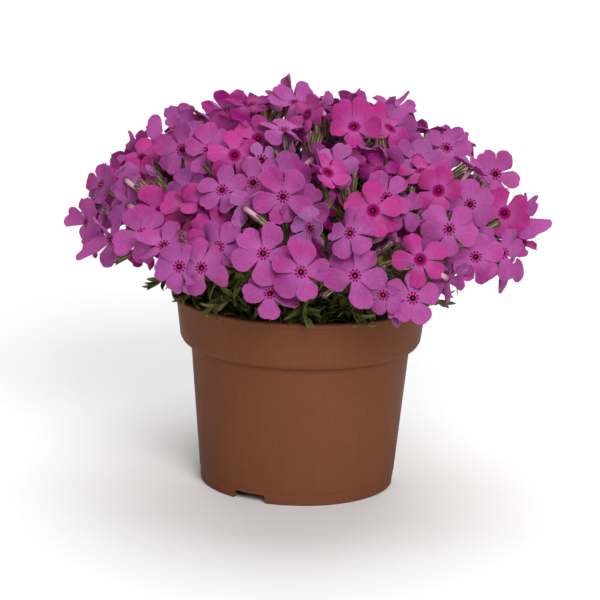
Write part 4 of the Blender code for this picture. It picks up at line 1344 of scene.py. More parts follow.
class Route:
    """A path with axes carried along it, read by the distance from its start."""

    def __init__(self, points: Path, start: Matrix | None = None) -> None:
        """Carries the axes along with as little twist as possible.

        Args:
            points: The path.
            start: Axes to start from, or none.
        """
        self.points = list(points)
        self.reaches = [0.0]
        self.turns = []
        turn = start.to_quaternion() if start else Quaternion()
        for i, point in enumerate(points):
            ahead = points[min(i + 1, len(points) - 1)] - points[max(i - 1, 0)]
            turn = (turn @ UP).rotation_difference(ahead) @ turn
            self.turns.append(turn)
            if i:
                self.reaches.append(self.reaches[-1] + (point - points[i - 1]).length)

    @property
    def length(self) -> float:
        """The whole path's length."""
        return self.reaches[-1]

    def at(self, reach: float) -> Matrix:
        """Gives the axes at a distance.

        Args:
            reach: The distance from the start.

        Returns:
            The axes, with Z along the path.
        """
        reach = min(max(reach, 0.0), self.length)
        i = max(min(int(np.searchsorted(self.reaches, reach)), len(self.points) - 1), 1)
        share = (reach - self.reaches[i - 1]) / max(self.reaches[i] - self.reaches[i - 1], 1e-9)
        place = self.points[i - 1].lerp(self.points[i], share)
        return Matrix.LocRotScale(place, self.turns[i - 1].slerp(self.turns[i], share), None)

    def between(self, first: float, last: float, count: int) -> list[Matrix]:
        """Gives evenly spaced axes from one distance to another."""
        return [self.at(float(reach)) for reach in np.linspace(first, last, count)]

    def whole(self, count: int) -> list[Matrix]:
        """Gives evenly spaced axes from end to end."""
        return self.between(0.0, self.length, count)


def linked(name: str, data: bpy.types.ID) -> Object:
    """Makes an object of a mesh, a light or a camera.

    Args:
        name: Its name.
        data: What it shows.

    Returns:
        The object.
    """
    made = bpy.data.objects.new(name, data)
    bpy.context.scene.collection.objects.link(made)
    return made


def meshed(name: str, bm: BMesh, *finishes: Finish) -> Object:
    """Makes a finished mesh an object.

    Args:
        name: Its name.
        bm: Its mesh, which is freed.
        *finishes: Its finishes, in the order of its material slots.

    Returns:
        The object.
    """
    mesh = bpy.data.meshes.new(name)
    bm.to_mesh(mesh)
    bm.free()
    for finish in finishes:
        mesh.materials.append(finish.material())
    return linked(name, mesh)


def faces_at(verts: Iterable[BMVert]) -> list[BMFace]:
    """The faces that touch some corners."""
    return list({face for vert in verts for face in vert.link_faces})


class Workpiece:
    """A piece in the making: its mesh, its finishes, and the numbers that its materials read.

    Each corner holds how far across and along its own part it lies, whether it is on the lower or
    inner side, and a tint, whose alpha is the strength of a bloom's eye.
    """

    SHARPEST = math.radians(50)
    LARGEST = 800
    FURLED_ALONG = 8.0
    FURLED_UNDER = 0.7

    def __init__(self, name: str, *finishes: Finish) -> None:
        """Starts empty.

        Args:
            name: The piece's name.
            *finishes: Its finishes, in the order of its material slots.
        """
        self.name = name
        self.finishes = finishes
        self.batches = []
        self.start()

    def start(self) -> None:
        """Starts an empty mesh with the layers for its numbers."""
        self.bm = bmesh.new()
        layers = self.bm.verts.layers
        self.across, self.along, self.under = map(layers.float.new, ("across", "along", "under"))
        self.tint = layers.float_color.new("tint")

    def rest(self) -> None:
        """Lays a large mesh aside, because the operators slow down on it."""
        if len(self.bm.verts) > self.LARGEST:
            self.lay_aside()

    def lay_aside(self) -> None:
        """Keeps what is done apart from what comes next."""
        mesh = bpy.data.meshes.new(self.name)
        self.bm.to_mesh(mesh)
        self.bm.free()
        self.batches.append(mesh)
        self.start()

    def paint(self, verts: Iterable[BMVert], finish: Finish, tint: Colour = (1.0, 1.0, 1.0)) -> None:
        """Gives the faces round some corners their finish.

        Args:
            verts: The corners.
            finish: The finish.
            tint: The tint, which the finish may read.
        """
        slot = self.finishes.index(finish)
        for vert in verts:
            vert[self.tint] = (*tint, 0.0)
            for face in vert.link_faces:
                face.material_index = slot

    def furl(self, verts: Sequence[BMVert], tint: Colour, across: Span = (1.5, 1.5)) -> None:
        """Paints furled petals, which show their outer side.

        Args:
            verts: Their corners.
            tint: Their colour.
            across: How far across its petal each corner in turn lies, in mm.
        """
        for number, vert in enumerate(verts):
            vert[self.across] = across[number % 2]
            vert[self.along] = self.FURLED_ALONG
            vert[self.under] = self.FURLED_UNDER
        self.paint(verts, PETAL, tint)

    def sheet(self, columns: int, rows: int) -> list[tuple[BMVert, float, float]]:
        """Lays a grid: its corners, with how far across (-1 to 1) and along (0 to 1) each lies."""
        made = bmesh.ops.create_grid(self.bm, x_segments=columns, y_segments=rows, size=1.0)["verts"]
        return [(vert, vert.co.x, (vert.co.y + 1) / 2) for vert in made]

    def thicken(self, verts: Sequence[BMVert], thickness: float) -> list[BMVert]:
        """Gives an open sheet a lower side.

        Args:
            verts: The sheet's corners.
            thickness: The thickness.

        Returns:
            The corners of both sides.
        """
        grown = bmesh.ops.solidify(self.bm, geom=faces_at(verts), thickness=thickness)["geom"]
        lower = [item for item in grown if isinstance(item, BMVert)]
        for vert in lower:
            vert[self.under] = 1.0
        return [*verts, *lower]

    def rings(
        self, count: int, sides: int, capped: bool
    ) -> tuple[list[list[BMVert]], list[Vector], list[BMEdge]]:
        """Draws a circle out into a row of joined rings, which are still to be placed.

        Args:
            count: How many there are.
            sides: The sides of each.
            capped: Whether the first is filled.

        Returns:
            The rings, the corners' places on a circle, and the last ring's edges.
        """
        ring = bmesh.ops.create_circle(self.bm, cap_ends=capped, segments=sides, radius=1.0)["verts"]
        section = [vert.co.copy() for vert in ring]
        edges = list({edge for vert in ring for edge in vert.link_edges})
        made = [ring]
        for _ in range(count - 1):
            grown = bmesh.ops.extrude_edge_only(self.bm, edges=edges)["geom"]
            made.append([item for item in grown if isinstance(item, BMVert)])
            edges = [item for item in grown if isinstance(item, BMEdge)]
        return made, section, edges

    def strand(
        self, places: Sequence[Matrix], radii: Sequence[float], sides: int, pointed: bool = False
    ) -> list[BMVert]:
        """Sweeps a round section through a row of places and closes both ends.

        Args:
            places: The axes of each ring.
            radii: The rings' radii.
            sides: The sides of the section.
            pointed: Whether the last ring is drawn together.

        Returns:
            The corners.
        """
        rings, section, edges = self.rings(len(places), sides, capped=True)
        reach = 0.0
        last = places[0]
        for ring, place, radius in zip(rings, places, radii):
            reach += (place.translation - last.translation).length
            last = place
            for turn, (vert, corner) in enumerate(zip(ring, section)):
                vert.co = place @ (corner * radius)
                vert[self.across] = abs(1 - 2 * turn / sides)
                vert[self.along] = reach / MM
        made = list(itertools.chain(*rings))
        if pointed:
            bmesh.ops.pointmerge(self.bm, verts=rings[-1], merge_co=last.translation)
            made = [vert for vert in made if vert.is_valid]
        else:
            bmesh.ops.edgeloop_fill(self.bm, edges=edges)
        bmesh.ops.recalc_face_normals(self.bm, faces=faces_at(made))
        return made

    def stem(self, places: Sequence[Matrix], radii: Span, sides: int) -> None:
        """Sweeps a stem that thins evenly, with its skin."""
        sizes = [float(radius) for radius in np.linspace(*radii, len(places))]
        self.paint(self.strand(places, sizes, sides), STEM)

    def pebble(self, place: Matrix, finish: Finish) -> None:
        """Adds a small lump of a finish, with its place, turn and half sizes."""
        made = bmesh.ops.create_icosphere(self.bm, subdivisions=1, radius=1.0, matrix=place)["verts"]
        self.paint(made, finish)

    def done(self, slot: str, *nodes: str) -> Object:
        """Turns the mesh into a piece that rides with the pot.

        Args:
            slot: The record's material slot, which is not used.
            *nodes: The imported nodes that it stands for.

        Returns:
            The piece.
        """
        self.lay_aside()
        for batch in self.batches:
            self.bm.from_mesh(batch)
            bpy.data.meshes.remove(batch)
        made = meshed(self.name, self.bm, *self.finishes)
        smooth(made)
        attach(made, BODY)
        if nodes:
            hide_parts(*nodes)
        return made


def smooth(piece: Object) -> None:
    """Shades a piece smoothly, apart from its sharpest edges."""
    piece.data.shade_smooth()
    piece.data.set_sharp_from_angle(angle=Workpiece.SHARPEST)


def varied(colour: Colour, draw: Draw, spread: float) -> Colour:
    """Changes a colour by up to a share, in brightness and in each part."""
    brightness = draw.uniform(1 - spread, 1 + spread)
    return tuple(part * brightness * draw.uniform(1 - spread / 3, 1 + spread / 3) for part in colour)


@dataclass
class Pot:
    """The thin moulded pot, with a deep collar, a lip, water notches and drain holes."""

    height: float = 89 * MM
    rim_radius: float = 60 * MM
    lip_height: float = 1.9 * MM
    lip_overhang: float = 2.3 * MM
    collar_height: float = 22.3 * MM
    collar_bottom_radius: float = 55.4 * MM
    body_top_radius: float = 50.5 * MM
    body_base_radius: float = 44.9 * MM
    foot_height: float = 6 * MM
    foot_ring: float = 1.6 * MM
    wall: float = 1.1 * MM
    floor_underside: float = 3 * MM
    floor_top: float = 4.4 * MM
    notch_count: int = 3
    notch_bearing: float = math.radians(-118.7)
    notch_size: Triple = (12 * MM, 19 * MM, 8 * MM)
    notch_top_share: float = 0.8
    notch_softening: float = 0.6 * MM
    drain_count: int = 5
    drain_radius: float = 4 * MM
    drain_circle: float = 29 * MM
    drain_sides: int = 32
    steps: int = 144
    softening: float = 0.3 * MM
    sharp: float = math.radians(18)

    @property
    def collar_foot(self) -> float:
        """The height of the collar's lower edge."""
        return self.height - self.collar_height

    def profile(self) -> list[Span]:
        """Draws the wall from the inside middle of the floor, over the rim and down to the foot.

        Returns:
            Radii and heights.
        """
        wall = self.wall
        collar_top = self.rim_radius - self.lip_overhang
        lip_foot = self.height - self.lip_height
        base = self.body_base_radius
        return [
            (0.0, self.floor_top),
            (base - wall, self.floor_top),
            (self.body_top_radius - wall, self.collar_foot + wall / 2),
            (self.collar_bottom_radius - 2 * wall, self.collar_foot + wall),
            (collar_top - wall, lip_foot),
            (collar_top - wall / 2, self.height),
            (self.rim_radius - wall / 2, self.height),
            (self.rim_radius, self.height - wall / 2),
            (self.rim_radius - wall / 4, lip_foot),
            (collar_top, lip_foot - wall / 4),
            (self.collar_bottom_radius, self.collar_foot + 2 * wall),
            (self.collar_bottom_radius - wall, self.collar_foot + wall / 4),
            (self.body_top_radius, self.collar_foot - wall / 2),
            (base + wall / 4, self.foot_height + wall / 4),
            (base, self.foot_height - wall / 4),
            (base - wall / 4, wall / 2),
            (base - wall, 0.0),
            (base - wall - self.foot_ring, 0.0),
            (base - wall - self.foot_ring, self.floor_underside),
            (0.0, self.floor_underside),
        ]

    def build(self) -> Object:
        """Turns the pot, softens its corners and cuts its openings.

        Returns:
            The piece.
        """
        work = Workpiece("moulded_pot", PLASTIC)
        turned(work.bm, self.profile(), self.steps)
        edges = [edge for edge in work.bm.edges if edge.calc_face_angle(0.0) > self.sharp]
        soften(work.bm, edges, self.softening)
        pot = work.done("pot", "pot")
        cutters = [self.notch(number) for number in range(self.notch_count)]
        cutters += [self.drain(number) for number in range(self.drain_count)]
        cut(pot, cutters)
        smooth(pot)
        return pot

    def notch(self, number: int) -> Object:
        """Makes the cutter of a water notch through the foot.

        Args:
            number: Which notch, from nought.

        Returns:
            A block with a narrower top.
        """
        bm = bmesh.new()
        bmesh.ops.create_cube(bm, size=1.0)
        bmesh.ops.scale(bm, verts=bm.verts[:], vec=self.notch_size)
        upper = [vert for vert in bm.verts if vert.co.z > 0]
        bmesh.ops.scale(bm, verts=upper, vec=(1, self.notch_top_share, 1))
        soften(bm, bm.edges[:], self.notch_softening)
        bearing = self.notch_bearing + number * math.tau / self.notch_count
        return cutter(f"notch_cutter_{number + 1}", bm, self.body_base_radius, bearing)

    def drain(self, number: int) -> Object:
        """Makes the cutter of a drain hole through the floor.

        Args:
            number: Which hole, from nought.

        Returns:
            A round rod.
        """
        bm = bmesh.new()
        bmesh.ops.create_cone(
            bm, cap_ends=True, segments=self.drain_sides, radius1=self.drain_radius,
            radius2=self.drain_radius, depth=4 * self.floor_top,
        )
        bearing = (number + 0.5) * math.tau / self.drain_count
        return cutter(f"drain_cutter_{number + 1}", bm, self.drain_circle, bearing)


def turned(bm: BMesh, profile: Sequence[Span], steps: int) -> None:
    """Turns a profile about the upright axis into a closed shape.

    Args:
        bm: The mesh, empty so far.
        profile: Radii and heights.
        steps: The steps round.
    """
    verts = [bm.verts.new((radius, 0.0, height)) for radius, height in profile]
    edges = [bm.edges.new(pair) for pair in zip(verts, verts[1:])]
    bmesh.ops.spin(
        bm, geom=verts + edges, cent=(0, 0, 0), axis=UP, angle=math.tau, steps=steps, use_merge=True
    )
    bmesh.ops.remove_doubles(bm, verts=bm.verts[:], dist=0.01 * MM)
    bmesh.ops.recalc_face_normals(bm, faces=bm.faces[:])


def soften(bm: BMesh, edges: Sequence[BMEdge], size: float) -> None:
    """Rounds off a mesh's edges by a size."""
    bmesh.ops.bevel(
        bm, geom=edges, offset=size, segments=2, profile=0.5,
        affect="EDGES", clamp_overlap=True, material=-1,
    )


def cutter(name: str, bm: BMesh, reach: float, bearing: float) -> Object:
    """Moves a cutter out from the pot's middle and round it, and makes it an object.

    Args:
        name: Its name.
        bm: Its mesh.
        reach: How far out it stands.
        bearing: How far round it stands.

    Returns:
        The cutter.
    """
    bmesh.ops.translate(bm, verts=bm.verts[:], vec=(reach, 0, 0))
    bm.transform(Matrix.Rotation(bearing, 4, "Z"))
    return meshed(name, bm)


def cut(target: Object, cutters: Sequence[Object]) -> None:
    """Takes cutters away from a piece and removes them.

    Args:
        target: The piece.
        cutters: The cutters.
    """
    for tool in cutters:
        boolean = target.modifiers.new(tool.name, "BOOLEAN")
        boolean.operation = "DIFFERENCE"
        boolean.solver = "EXACT"
        boolean.object = tool
    bpy.context.view_layer.update()
    graph = bpy.context.evaluated_depsgraph_get()
    mesh = bpy.data.meshes.new_from_object(target.evaluated_get(graph))
    target.modifiers.clear()
    old = target.data
    target.data = mesh
    bpy.data.meshes.remove(old)
    for tool in cutters:
        bpy.data.objects.remove(tool)


@dataclass
class Soil:
    """Crumbly peat with a little pale grit, a gap inside the pot's wall."""

    pot: Pot
    top: float = 80 * MM
    crown: float = 1.5 * MM
    gap: float = 0.3 * MM
    rings: int = 14
    steps: int = 90
    unevenness: float = 1.3 * MM
    bump_size: float = 7 * MM
    bump_shape: tuple[float, float, int] = (0.8, 2.0, 4)
    crumbs: int = 420
    crumb_size: Span = (0.6 * MM, 1.9 * MM)
    grit: int = 70
    grit_size: Span = (0.35 * MM, 0.8 * MM)
    lump_width: Span = (0.6, 1.0)
    lump_height: Span = (0.5, 0.9)
    lump_rise: Span = (-0.2, 0.4)
    seed: int = 5

    def top_radius(self) -> float:
        """How far out the soil reaches at its top."""
        pot = self.pot
        rise = pot.rim_radius - pot.lip_overhang - pot.collar_bottom_radius
        slope = rise / (pot.collar_height - pot.lip_height)
        inside = pot.collar_bottom_radius - 2 * pot.wall
        return inside + slope * (self.top - pot.collar_foot) - self.gap

    def surface(self, x: float, y: float) -> float:
        """Gives the height of the uneven top.

        Args:
            x: The place's X.
            y: Its Y.

        Returns:
            The height.
        """
        share = min(math.hypot(x, y) / self.top_radius(), 1.0)
        bumps = noise.fractal(Vector((x, y, 0.0)) / self.bump_size, *self.bump_shape)
        return self.top + (1 - share**4) * (self.crown + self.unevenness * bumps)

    def build(self) -> Object:
        """Turns the soil, roughens its top and strews crumbs on it.

        Returns:
            The piece.
        """
        pot, draw = self.pot, np.random.default_rng(self.seed)
        work = Workpiece("peat", PEAT, GRIT)
        reach = self.top_radius()
        shelf = pot.collar_foot + pot.wall + self.gap
        profile = [(reach * k / self.rings, self.top) for k in range(self.rings + 1)]
        profile += [
            (pot.collar_bottom_radius - 2 * pot.wall - 2 * self.gap, shelf),
            (pot.body_top_radius - pot.wall - 2 * self.gap, shelf),
            (pot.body_base_radius - pot.wall - 2 * self.gap, pot.floor_top + self.gap),
            (0.0, pot.floor_top + self.gap),
        ]
        turned(work.bm, profile, self.steps)
        for vert in work.bm.verts:
            if vert.co.z > self.top - self.gap:
                vert.co.z = self.surface(vert.co.x, vert.co.y)
        self.strew(work, draw, self.crumbs, self.crumb_size, PEAT)
        self.strew(work, draw, self.grit, self.grit_size, GRIT)
        return work.done("soil", "soil")

    def strew(self, work: Workpiece, draw: Draw, count: int, sizes: Span, finish: Finish) -> None:
        """Strews lumps over the top.

        Args:
            work: The piece.
            draw: The random draws.
            count: How many there are.
            sizes: Their least and greatest half sizes.
            finish: Their finish.
        """
        for _ in range(count):
            reach = (self.top_radius() - sizes[1]) * math.sqrt(draw.uniform())
            bearing = draw.uniform(0, math.tau)
            x, y = reach * math.cos(bearing), reach * math.sin(bearing)
            size = draw.uniform(*sizes)
            turn = Quaternion(Vector(draw.normal(0, 1, 3)).normalized(), draw.uniform(0, math.tau))
            width, height = draw.uniform(*self.lump_width), draw.uniform(*self.lump_height)
            place = Vector((x, y, self.surface(x, y) + size * draw.uniform(*self.lump_rise)))
            shape = Vector((size, size * width, size * height))
            work.pebble(Matrix.LocRotScale(place, turn, shape), finish)
            work.rest()


GREENS = ((0.095, 0.115, 0.013), (0.145, 0.155, 0.024), (0.055, 0.070, 0.008))
NEARLY_UP = Vector((0.01, 0.02, 1.0))


@dataclass(frozen=True)
class Leaf:
    """A narrow, pointed leaf, folded along its midrib."""

    half_width: float = 1.45 * MM
    fold: float = 0.28
    thickness: float = 0.28 * MM
    columns: int = 2
    rows: int = 5
    foot_share: float = 0.5
    widest: float = 0.4
    taper: float = 0.65
    fullness: float = 0.72
    straightest: float = 0.02

    def width(self, along: float) -> float:
        """The half width at a share of the length, as a share of the greatest."""
        rise = self.foot_share + (1 - self.foot_share) * min(along / self.widest, 1.0)
        return rise * (1 - along) ** self.taper / self.fullness

    def add(self, work: Workpiece, path: Path, tint: Colour, size: float = 1.0) -> None:
        """Lays a leaf along a path and gives it its thickness.

        Args:
            work: The piece.
            path: The leaf's base, widest point and tip.
            tint: Its colour.
            size: Its width as a share of a full one.
        """
        base, middle, tip = path
        hold = middle * 2 - (base + tip) / 2
        spine = bezier([base, hold, tip], self.rows + 1)
        upper = (middle - base).normalized() - (tip - middle).normalized()
        if upper.length < self.straightest:
            upper = NEARLY_UP
        length = (middle - base).length + (tip - middle).length
        last, made = [], []
        for vert, across, along in work.sheet(self.columns, self.rows):
            row = round(along * self.rows)
            ahead = spine[min(row + 1, self.rows)] - spine[max(row - 1, 0)]
            side = ahead.cross(upper).normalized()
            lift = side.cross(ahead).normalized()
            half = self.half_width * size * max(self.width(along), 0.0)
            vert.co = spine[row] + side * across * half + lift * abs(across) * half * self.fold
            vert[work.across] = across * half / MM
            vert[work.along] = along * length / MM
            made.append(vert)
            if row == self.rows:
                last.append(vert)
        bmesh.ops.pointmerge(work.bm, verts=last, merge_co=spine[-1])
        made = [vert for vert in made if vert.is_valid]
        work.paint(work.thicken(made, self.thickness), LEAF, tint)
        work.rest()


def smoothed(points: Path, steps: int) -> list[Vector]:
    """Rounds a path off, through its own points.

    Args:
        points: The path.
        steps: The steps between two of its points.

    Returns:
        The rounded path.
    """
    ends = [points[0] * 2 - points[1], *points, points[-1] * 2 - points[-2]]
    path = []
    for a, b, c, d in zip(ends, ends[1:], ends[2:], ends[3:]):
        for step in range(steps):
            t = step / steps
            bend = (c - a) * t + (a * 2 - b * 5 + c * 4 - d) * t**2 + (b * 3 - a - c * 3 + d) * t**3
            path.append(b + bend / 2)
    return path + [points[-1]]


@dataclass
class Foliage:
    """Lays opposite leaves in crossed pairs, and young leaves at a shoot's tip."""

    work: Workpiece
    draw: Draw
    leaf: Leaf = field(default_factory=Leaf)
    length: Span = (8 * MM, 14 * MM)
    width: Span = (0.65, 0.95)
    middle: float = 0.52
    lower_lean: float = 1.0
    upper_lean: Span = (0.1, 0.5)
    droop: Span = (0.0, 0.12)
    swing: float = 0.18
    tint_spread: float = 0.18
    young_lean: float = 4.5
    young_share: float = 0.7
    rim: Span = (58 * MM, 90 * MM)
    rim_slope: float = 1.2

    def clothe(self, route: Route, span: Span, spacing: float, young: int = 0) -> None:
        """Adds leaves along a stem.

        Args:
            route: The stem.
            span: The shares of its length between which pairs of leaves stand.
            spacing: How far apart the pairs are.
            young: How many young leaves there are at its tip.
        """
        first, last = (route.length * share for share in span)
        count = max(round((last - first) / spacing), 0) + 1
        turn = self.draw.uniform(0, math.tau)
        for number, place in enumerate(route.between(first, last, count)):
            for side in (0.0, math.pi):
                angle = turn + side + number * math.pi / 2 + self.draw.normal(0, self.swing)
                self.one(place, angle, self.lower_lean, self.draw.uniform(*self.length))
        tip = route.at(route.length)
        for number in range(young):
            length = self.draw.uniform(*self.length) * self.young_share
            self.one(tip, number * GOLDEN_TURN, self.young_lean, length)

    def one(self, place: Matrix, angle: float, lean: float, length: float) -> None:
        """Arches one leaf away from its stem, and keeps it above the pot's rim.

        Args:
            place: The stem's axes where it grows.
            angle: Its bearing round the stem.
            lean: How far it leans ahead.
            length: Its length.
        """
        axes = place.to_3x3()
        ahead = axes @ UP * lean
        leans = (1.0, self.draw.uniform(*self.upper_lean))
        path = arched(place.translation, ahead, axes @ flat(angle), length, leans, self.middle)
        path[-1].z -= length * self.draw.uniform(*self.droop)
        reach, height = self.rim
        for point in path[1:]:
            point.z = max(point.z, height - max(reach - point.xy.length, 0.0) * self.rim_slope)
        self.leaf.add(self.work, path, self.tint(), self.draw.uniform(*self.width))

    def tint(self) -> Colour:
        """Draws a leaf's green."""
        return varied(GREENS[self.draw.integers(len(GREENS))], self.draw, self.tint_spread)


@dataclass
class LeafyStem:
    """One stem from its hole up to its head, with its leaves, its side shoot and its green bud."""

    head: Head
    seed: int = 90
    radii: Span = (1.3 * MM, 1.0 * MM)
    sides: int = 8
    stem_steps: int = 4
    twig_steps: int = 5
    node_spacing: float = 2.5 * MM
    node_swelling: float = 0.12
    leaf_span: Span = (0.3, 0.92)
    leaf_spacing: float = 8 * MM
    packed_leaf_width: float = 1.1
    shoot_radii: Span = (0.75 * MM, 0.45 * MM)
    shoot_span: Span = (0.4, 0.85)
    shoot_spacing: float = 7 * MM
    shoot_young: int = 3
    inner_shoots: int = 8
    inner_start: Span = (0.3, 0.6)
    inner_turn: float = 1.5
    inner_rise: Span = (0.1, 0.8)
    inner_length: Span = (20 * MM, 36 * MM)
    inner_least: float = 8 * MM
    inner_reach: float = 0.82
    inner_shrink: float = 0.85
    inner_hold: float = 0.4
    inner_span: Span = (0.2, 0.95)
    inner_spacing: float = 4 * MM
    inner_young: int = 5
    bud_radii: Row = (0.7 * MM, 1.15 * MM, 1.2 * MM, 0.8 * MM, 0.2 * MM)
    bud_length: float = 7 * MM
    bud_stalk: float = 0.6 * MM
    bud_sunk: float = 1 * MM
    bud_tint_spread: float = 0.1
    bud_calyx: Span = (0.62, 0.9)
    dome: Dome = field(default_factory=Dome)

    def build(self) -> Object:
        """Builds the stem and what grows from it.

        Returns:
            The piece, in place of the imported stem.
        """
        head = self.head
        self.draw = np.random.default_rng(self.seed + head.number)
        work = self.work = Workpiece(f"stem_{head.number:02d}", STEM, LEAF, CALYX, PETAL, TUBE)
        foliage = self.foliage = Foliage(work, self.draw)
        route = Route(smoothed(head.stem, self.stem_steps))
        self.add_stem(route, self.radii)
        foliage.clothe(route, self.leaf_span, self.leaf_spacing)
        if head.bud:
            self.add_bud(Route(smoothed(head.bud, self.twig_steps)))
        if head.shoot:
            shoot = Route(smoothed(head.shoot, self.twig_steps))
            self.add_stem(shoot, self.shoot_radii)
            foliage.clothe(shoot, self.shoot_span, self.shoot_spacing, self.shoot_young)
        for path in head.leaves:
            foliage.leaf.add(work, path, foliage.tint(), self.packed_leaf_width)
        for number in range(self.inner_shoots):
            self.add_inner_shoot(route, number / self.inner_shoots)
        return work.done("leaf", head.stem_node)

    def add_inner_shoot(self, route: Route, share: float) -> None:
        """Adds a flowerless shoot that fills the dome below the blooms.

        Args:
            route: The stem.
            share: Where between its lower part and its top the shoot leaves it.
        """
        draw = self.draw
        low, more = self.inner_start
        start = route.at(route.length * (low + more * share))
        bearing = share * math.tau + draw.uniform(0, self.inner_turn)
        out = flat(bearing, draw.uniform(*self.inner_rise)).normalized()
        length = draw.uniform(*self.inner_length)
        base = start.translation
        while self.dome.offset(base + out * length).length > self.inner_reach and length > self.inner_least:
            length *= self.inner_shrink
        hold = base + start.to_3x3() @ UP * length * self.inner_hold
        shoot = Route(bezier([base, hold, base + out * length], 7))
        self.add_stem(shoot, self.shoot_radii)
        self.foliage.clothe(shoot, self.inner_span, self.inner_spacing, self.inner_young)

    def add_stem(self, route: Route, radii: Span) -> None:
        """Sweeps a stem, slightly swollen at its nodes.

        Args:
            route: The stem's path.
            radii: Its radii at its foot and its top.
        """
        count = max(round(route.length / self.node_spacing), 4)
        first, last = radii
        sizes = [
            float(first + (last - first) * share) * (1.0 + self.node_swelling * (number % 3 == 1))
            for number, share in enumerate(np.linspace(0, 1, count))
        ]
        self.work.paint(self.work.strand(route.whole(count), sizes, self.sides), STEM)

    def add_bud(self, route: Route) -> None:
        """Adds a green bud whose furled petals just show.

        Args:
            route: Its stalk, from the stem to the bud's tip.
        """
        work, foot = self.work, route.length - self.bud_length
        tint = varied(TONES[Tone.MAUVE], self.draw, self.bud_tint_spread)
        work.stem(route.between(0.0, foot + self.bud_sunk, 6), (self.bud_stalk, self.bud_stalk), 6)
        places = route.between(foot, route.length, len(self.bud_radii))
        work.furl(work.strand(places, self.bud_radii, self.sides, pointed=True), tint)
        down = Route([place.translation for place in reversed(route.whole(16))])
        middle, size = self.bud_calyx
        Calyx().add(work, down, self.bud_length * middle, size)


@dataclass
class Undergrowth:
    """The dark leafy shoots that crowd the pot's mouth, some of them hanging over the rim."""

    soil: Soil
    count: int = 140
    seed: int = 7
    root_reach: Span = (10 * MM, 52 * MM)
    root_depth: float = 2 * MM
    scatter: float = 0.1
    rise: Span = (5 * MM, 26 * MM)
    lean: Span = (-4, 6)
    sway: float = 4 * MM
    radii: Span = (0.9 * MM, 0.5 * MM)
    sides: int = 6
    leaf_span: Span = (0.25, 0.95)
    leaf_spacing: float = 4.2 * MM
    young: int = 4

    def build(self) -> Object:
        """Builds the shoots.

        Returns:
            The piece.
        """
        draw = np.random.default_rng(self.seed)
        work = Workpiece("undergrowth", STEM, LEAF)
        foliage = Foliage(work, draw)
        least, most = self.root_reach
        for number in range(self.count):
            out = flat(number * GOLDEN_TURN + draw.normal(0, self.scatter))
            share = math.sqrt((number + 0.5) / self.count)
            root = out * (least + (most - least) * share)
            root.z = self.soil.surface(root.x, root.y) - self.root_depth
            rise = draw.uniform(*self.rise)
            lean = out * draw.uniform(*self.lean) * MM * share * rise / self.rise[1]
            side = out.cross(UP) * draw.normal(0, self.sway)
            tip = root + UP * (rise + self.root_depth) + lean + side
            route = Route(bezier([root, root + UP * rise * 0.7, tip], 8))
            work.stem(route.whole(6), self.radii, self.sides)
            foliage.clothe(route, self.leaf_span, self.leaf_spacing, self.young)
        return work.done("leaf")


TONES = {
    Tone.PINK: (0.345, 0.068, 0.265),
    Tone.HOT: (0.415, 0.040, 0.225),
    Tone.MAUVE: (0.29, 0.062, 0.25),
    Tone.LILAC: (0.36, 0.120, 0.33),
    # The dark tone is painted shade where the lower layer of blooms takes it.
    Tone.DARK: (0.24, 0.003, 0.13),
}
EYES = {Tone.HOT: 1.0, Tone.DARK: 0.6}


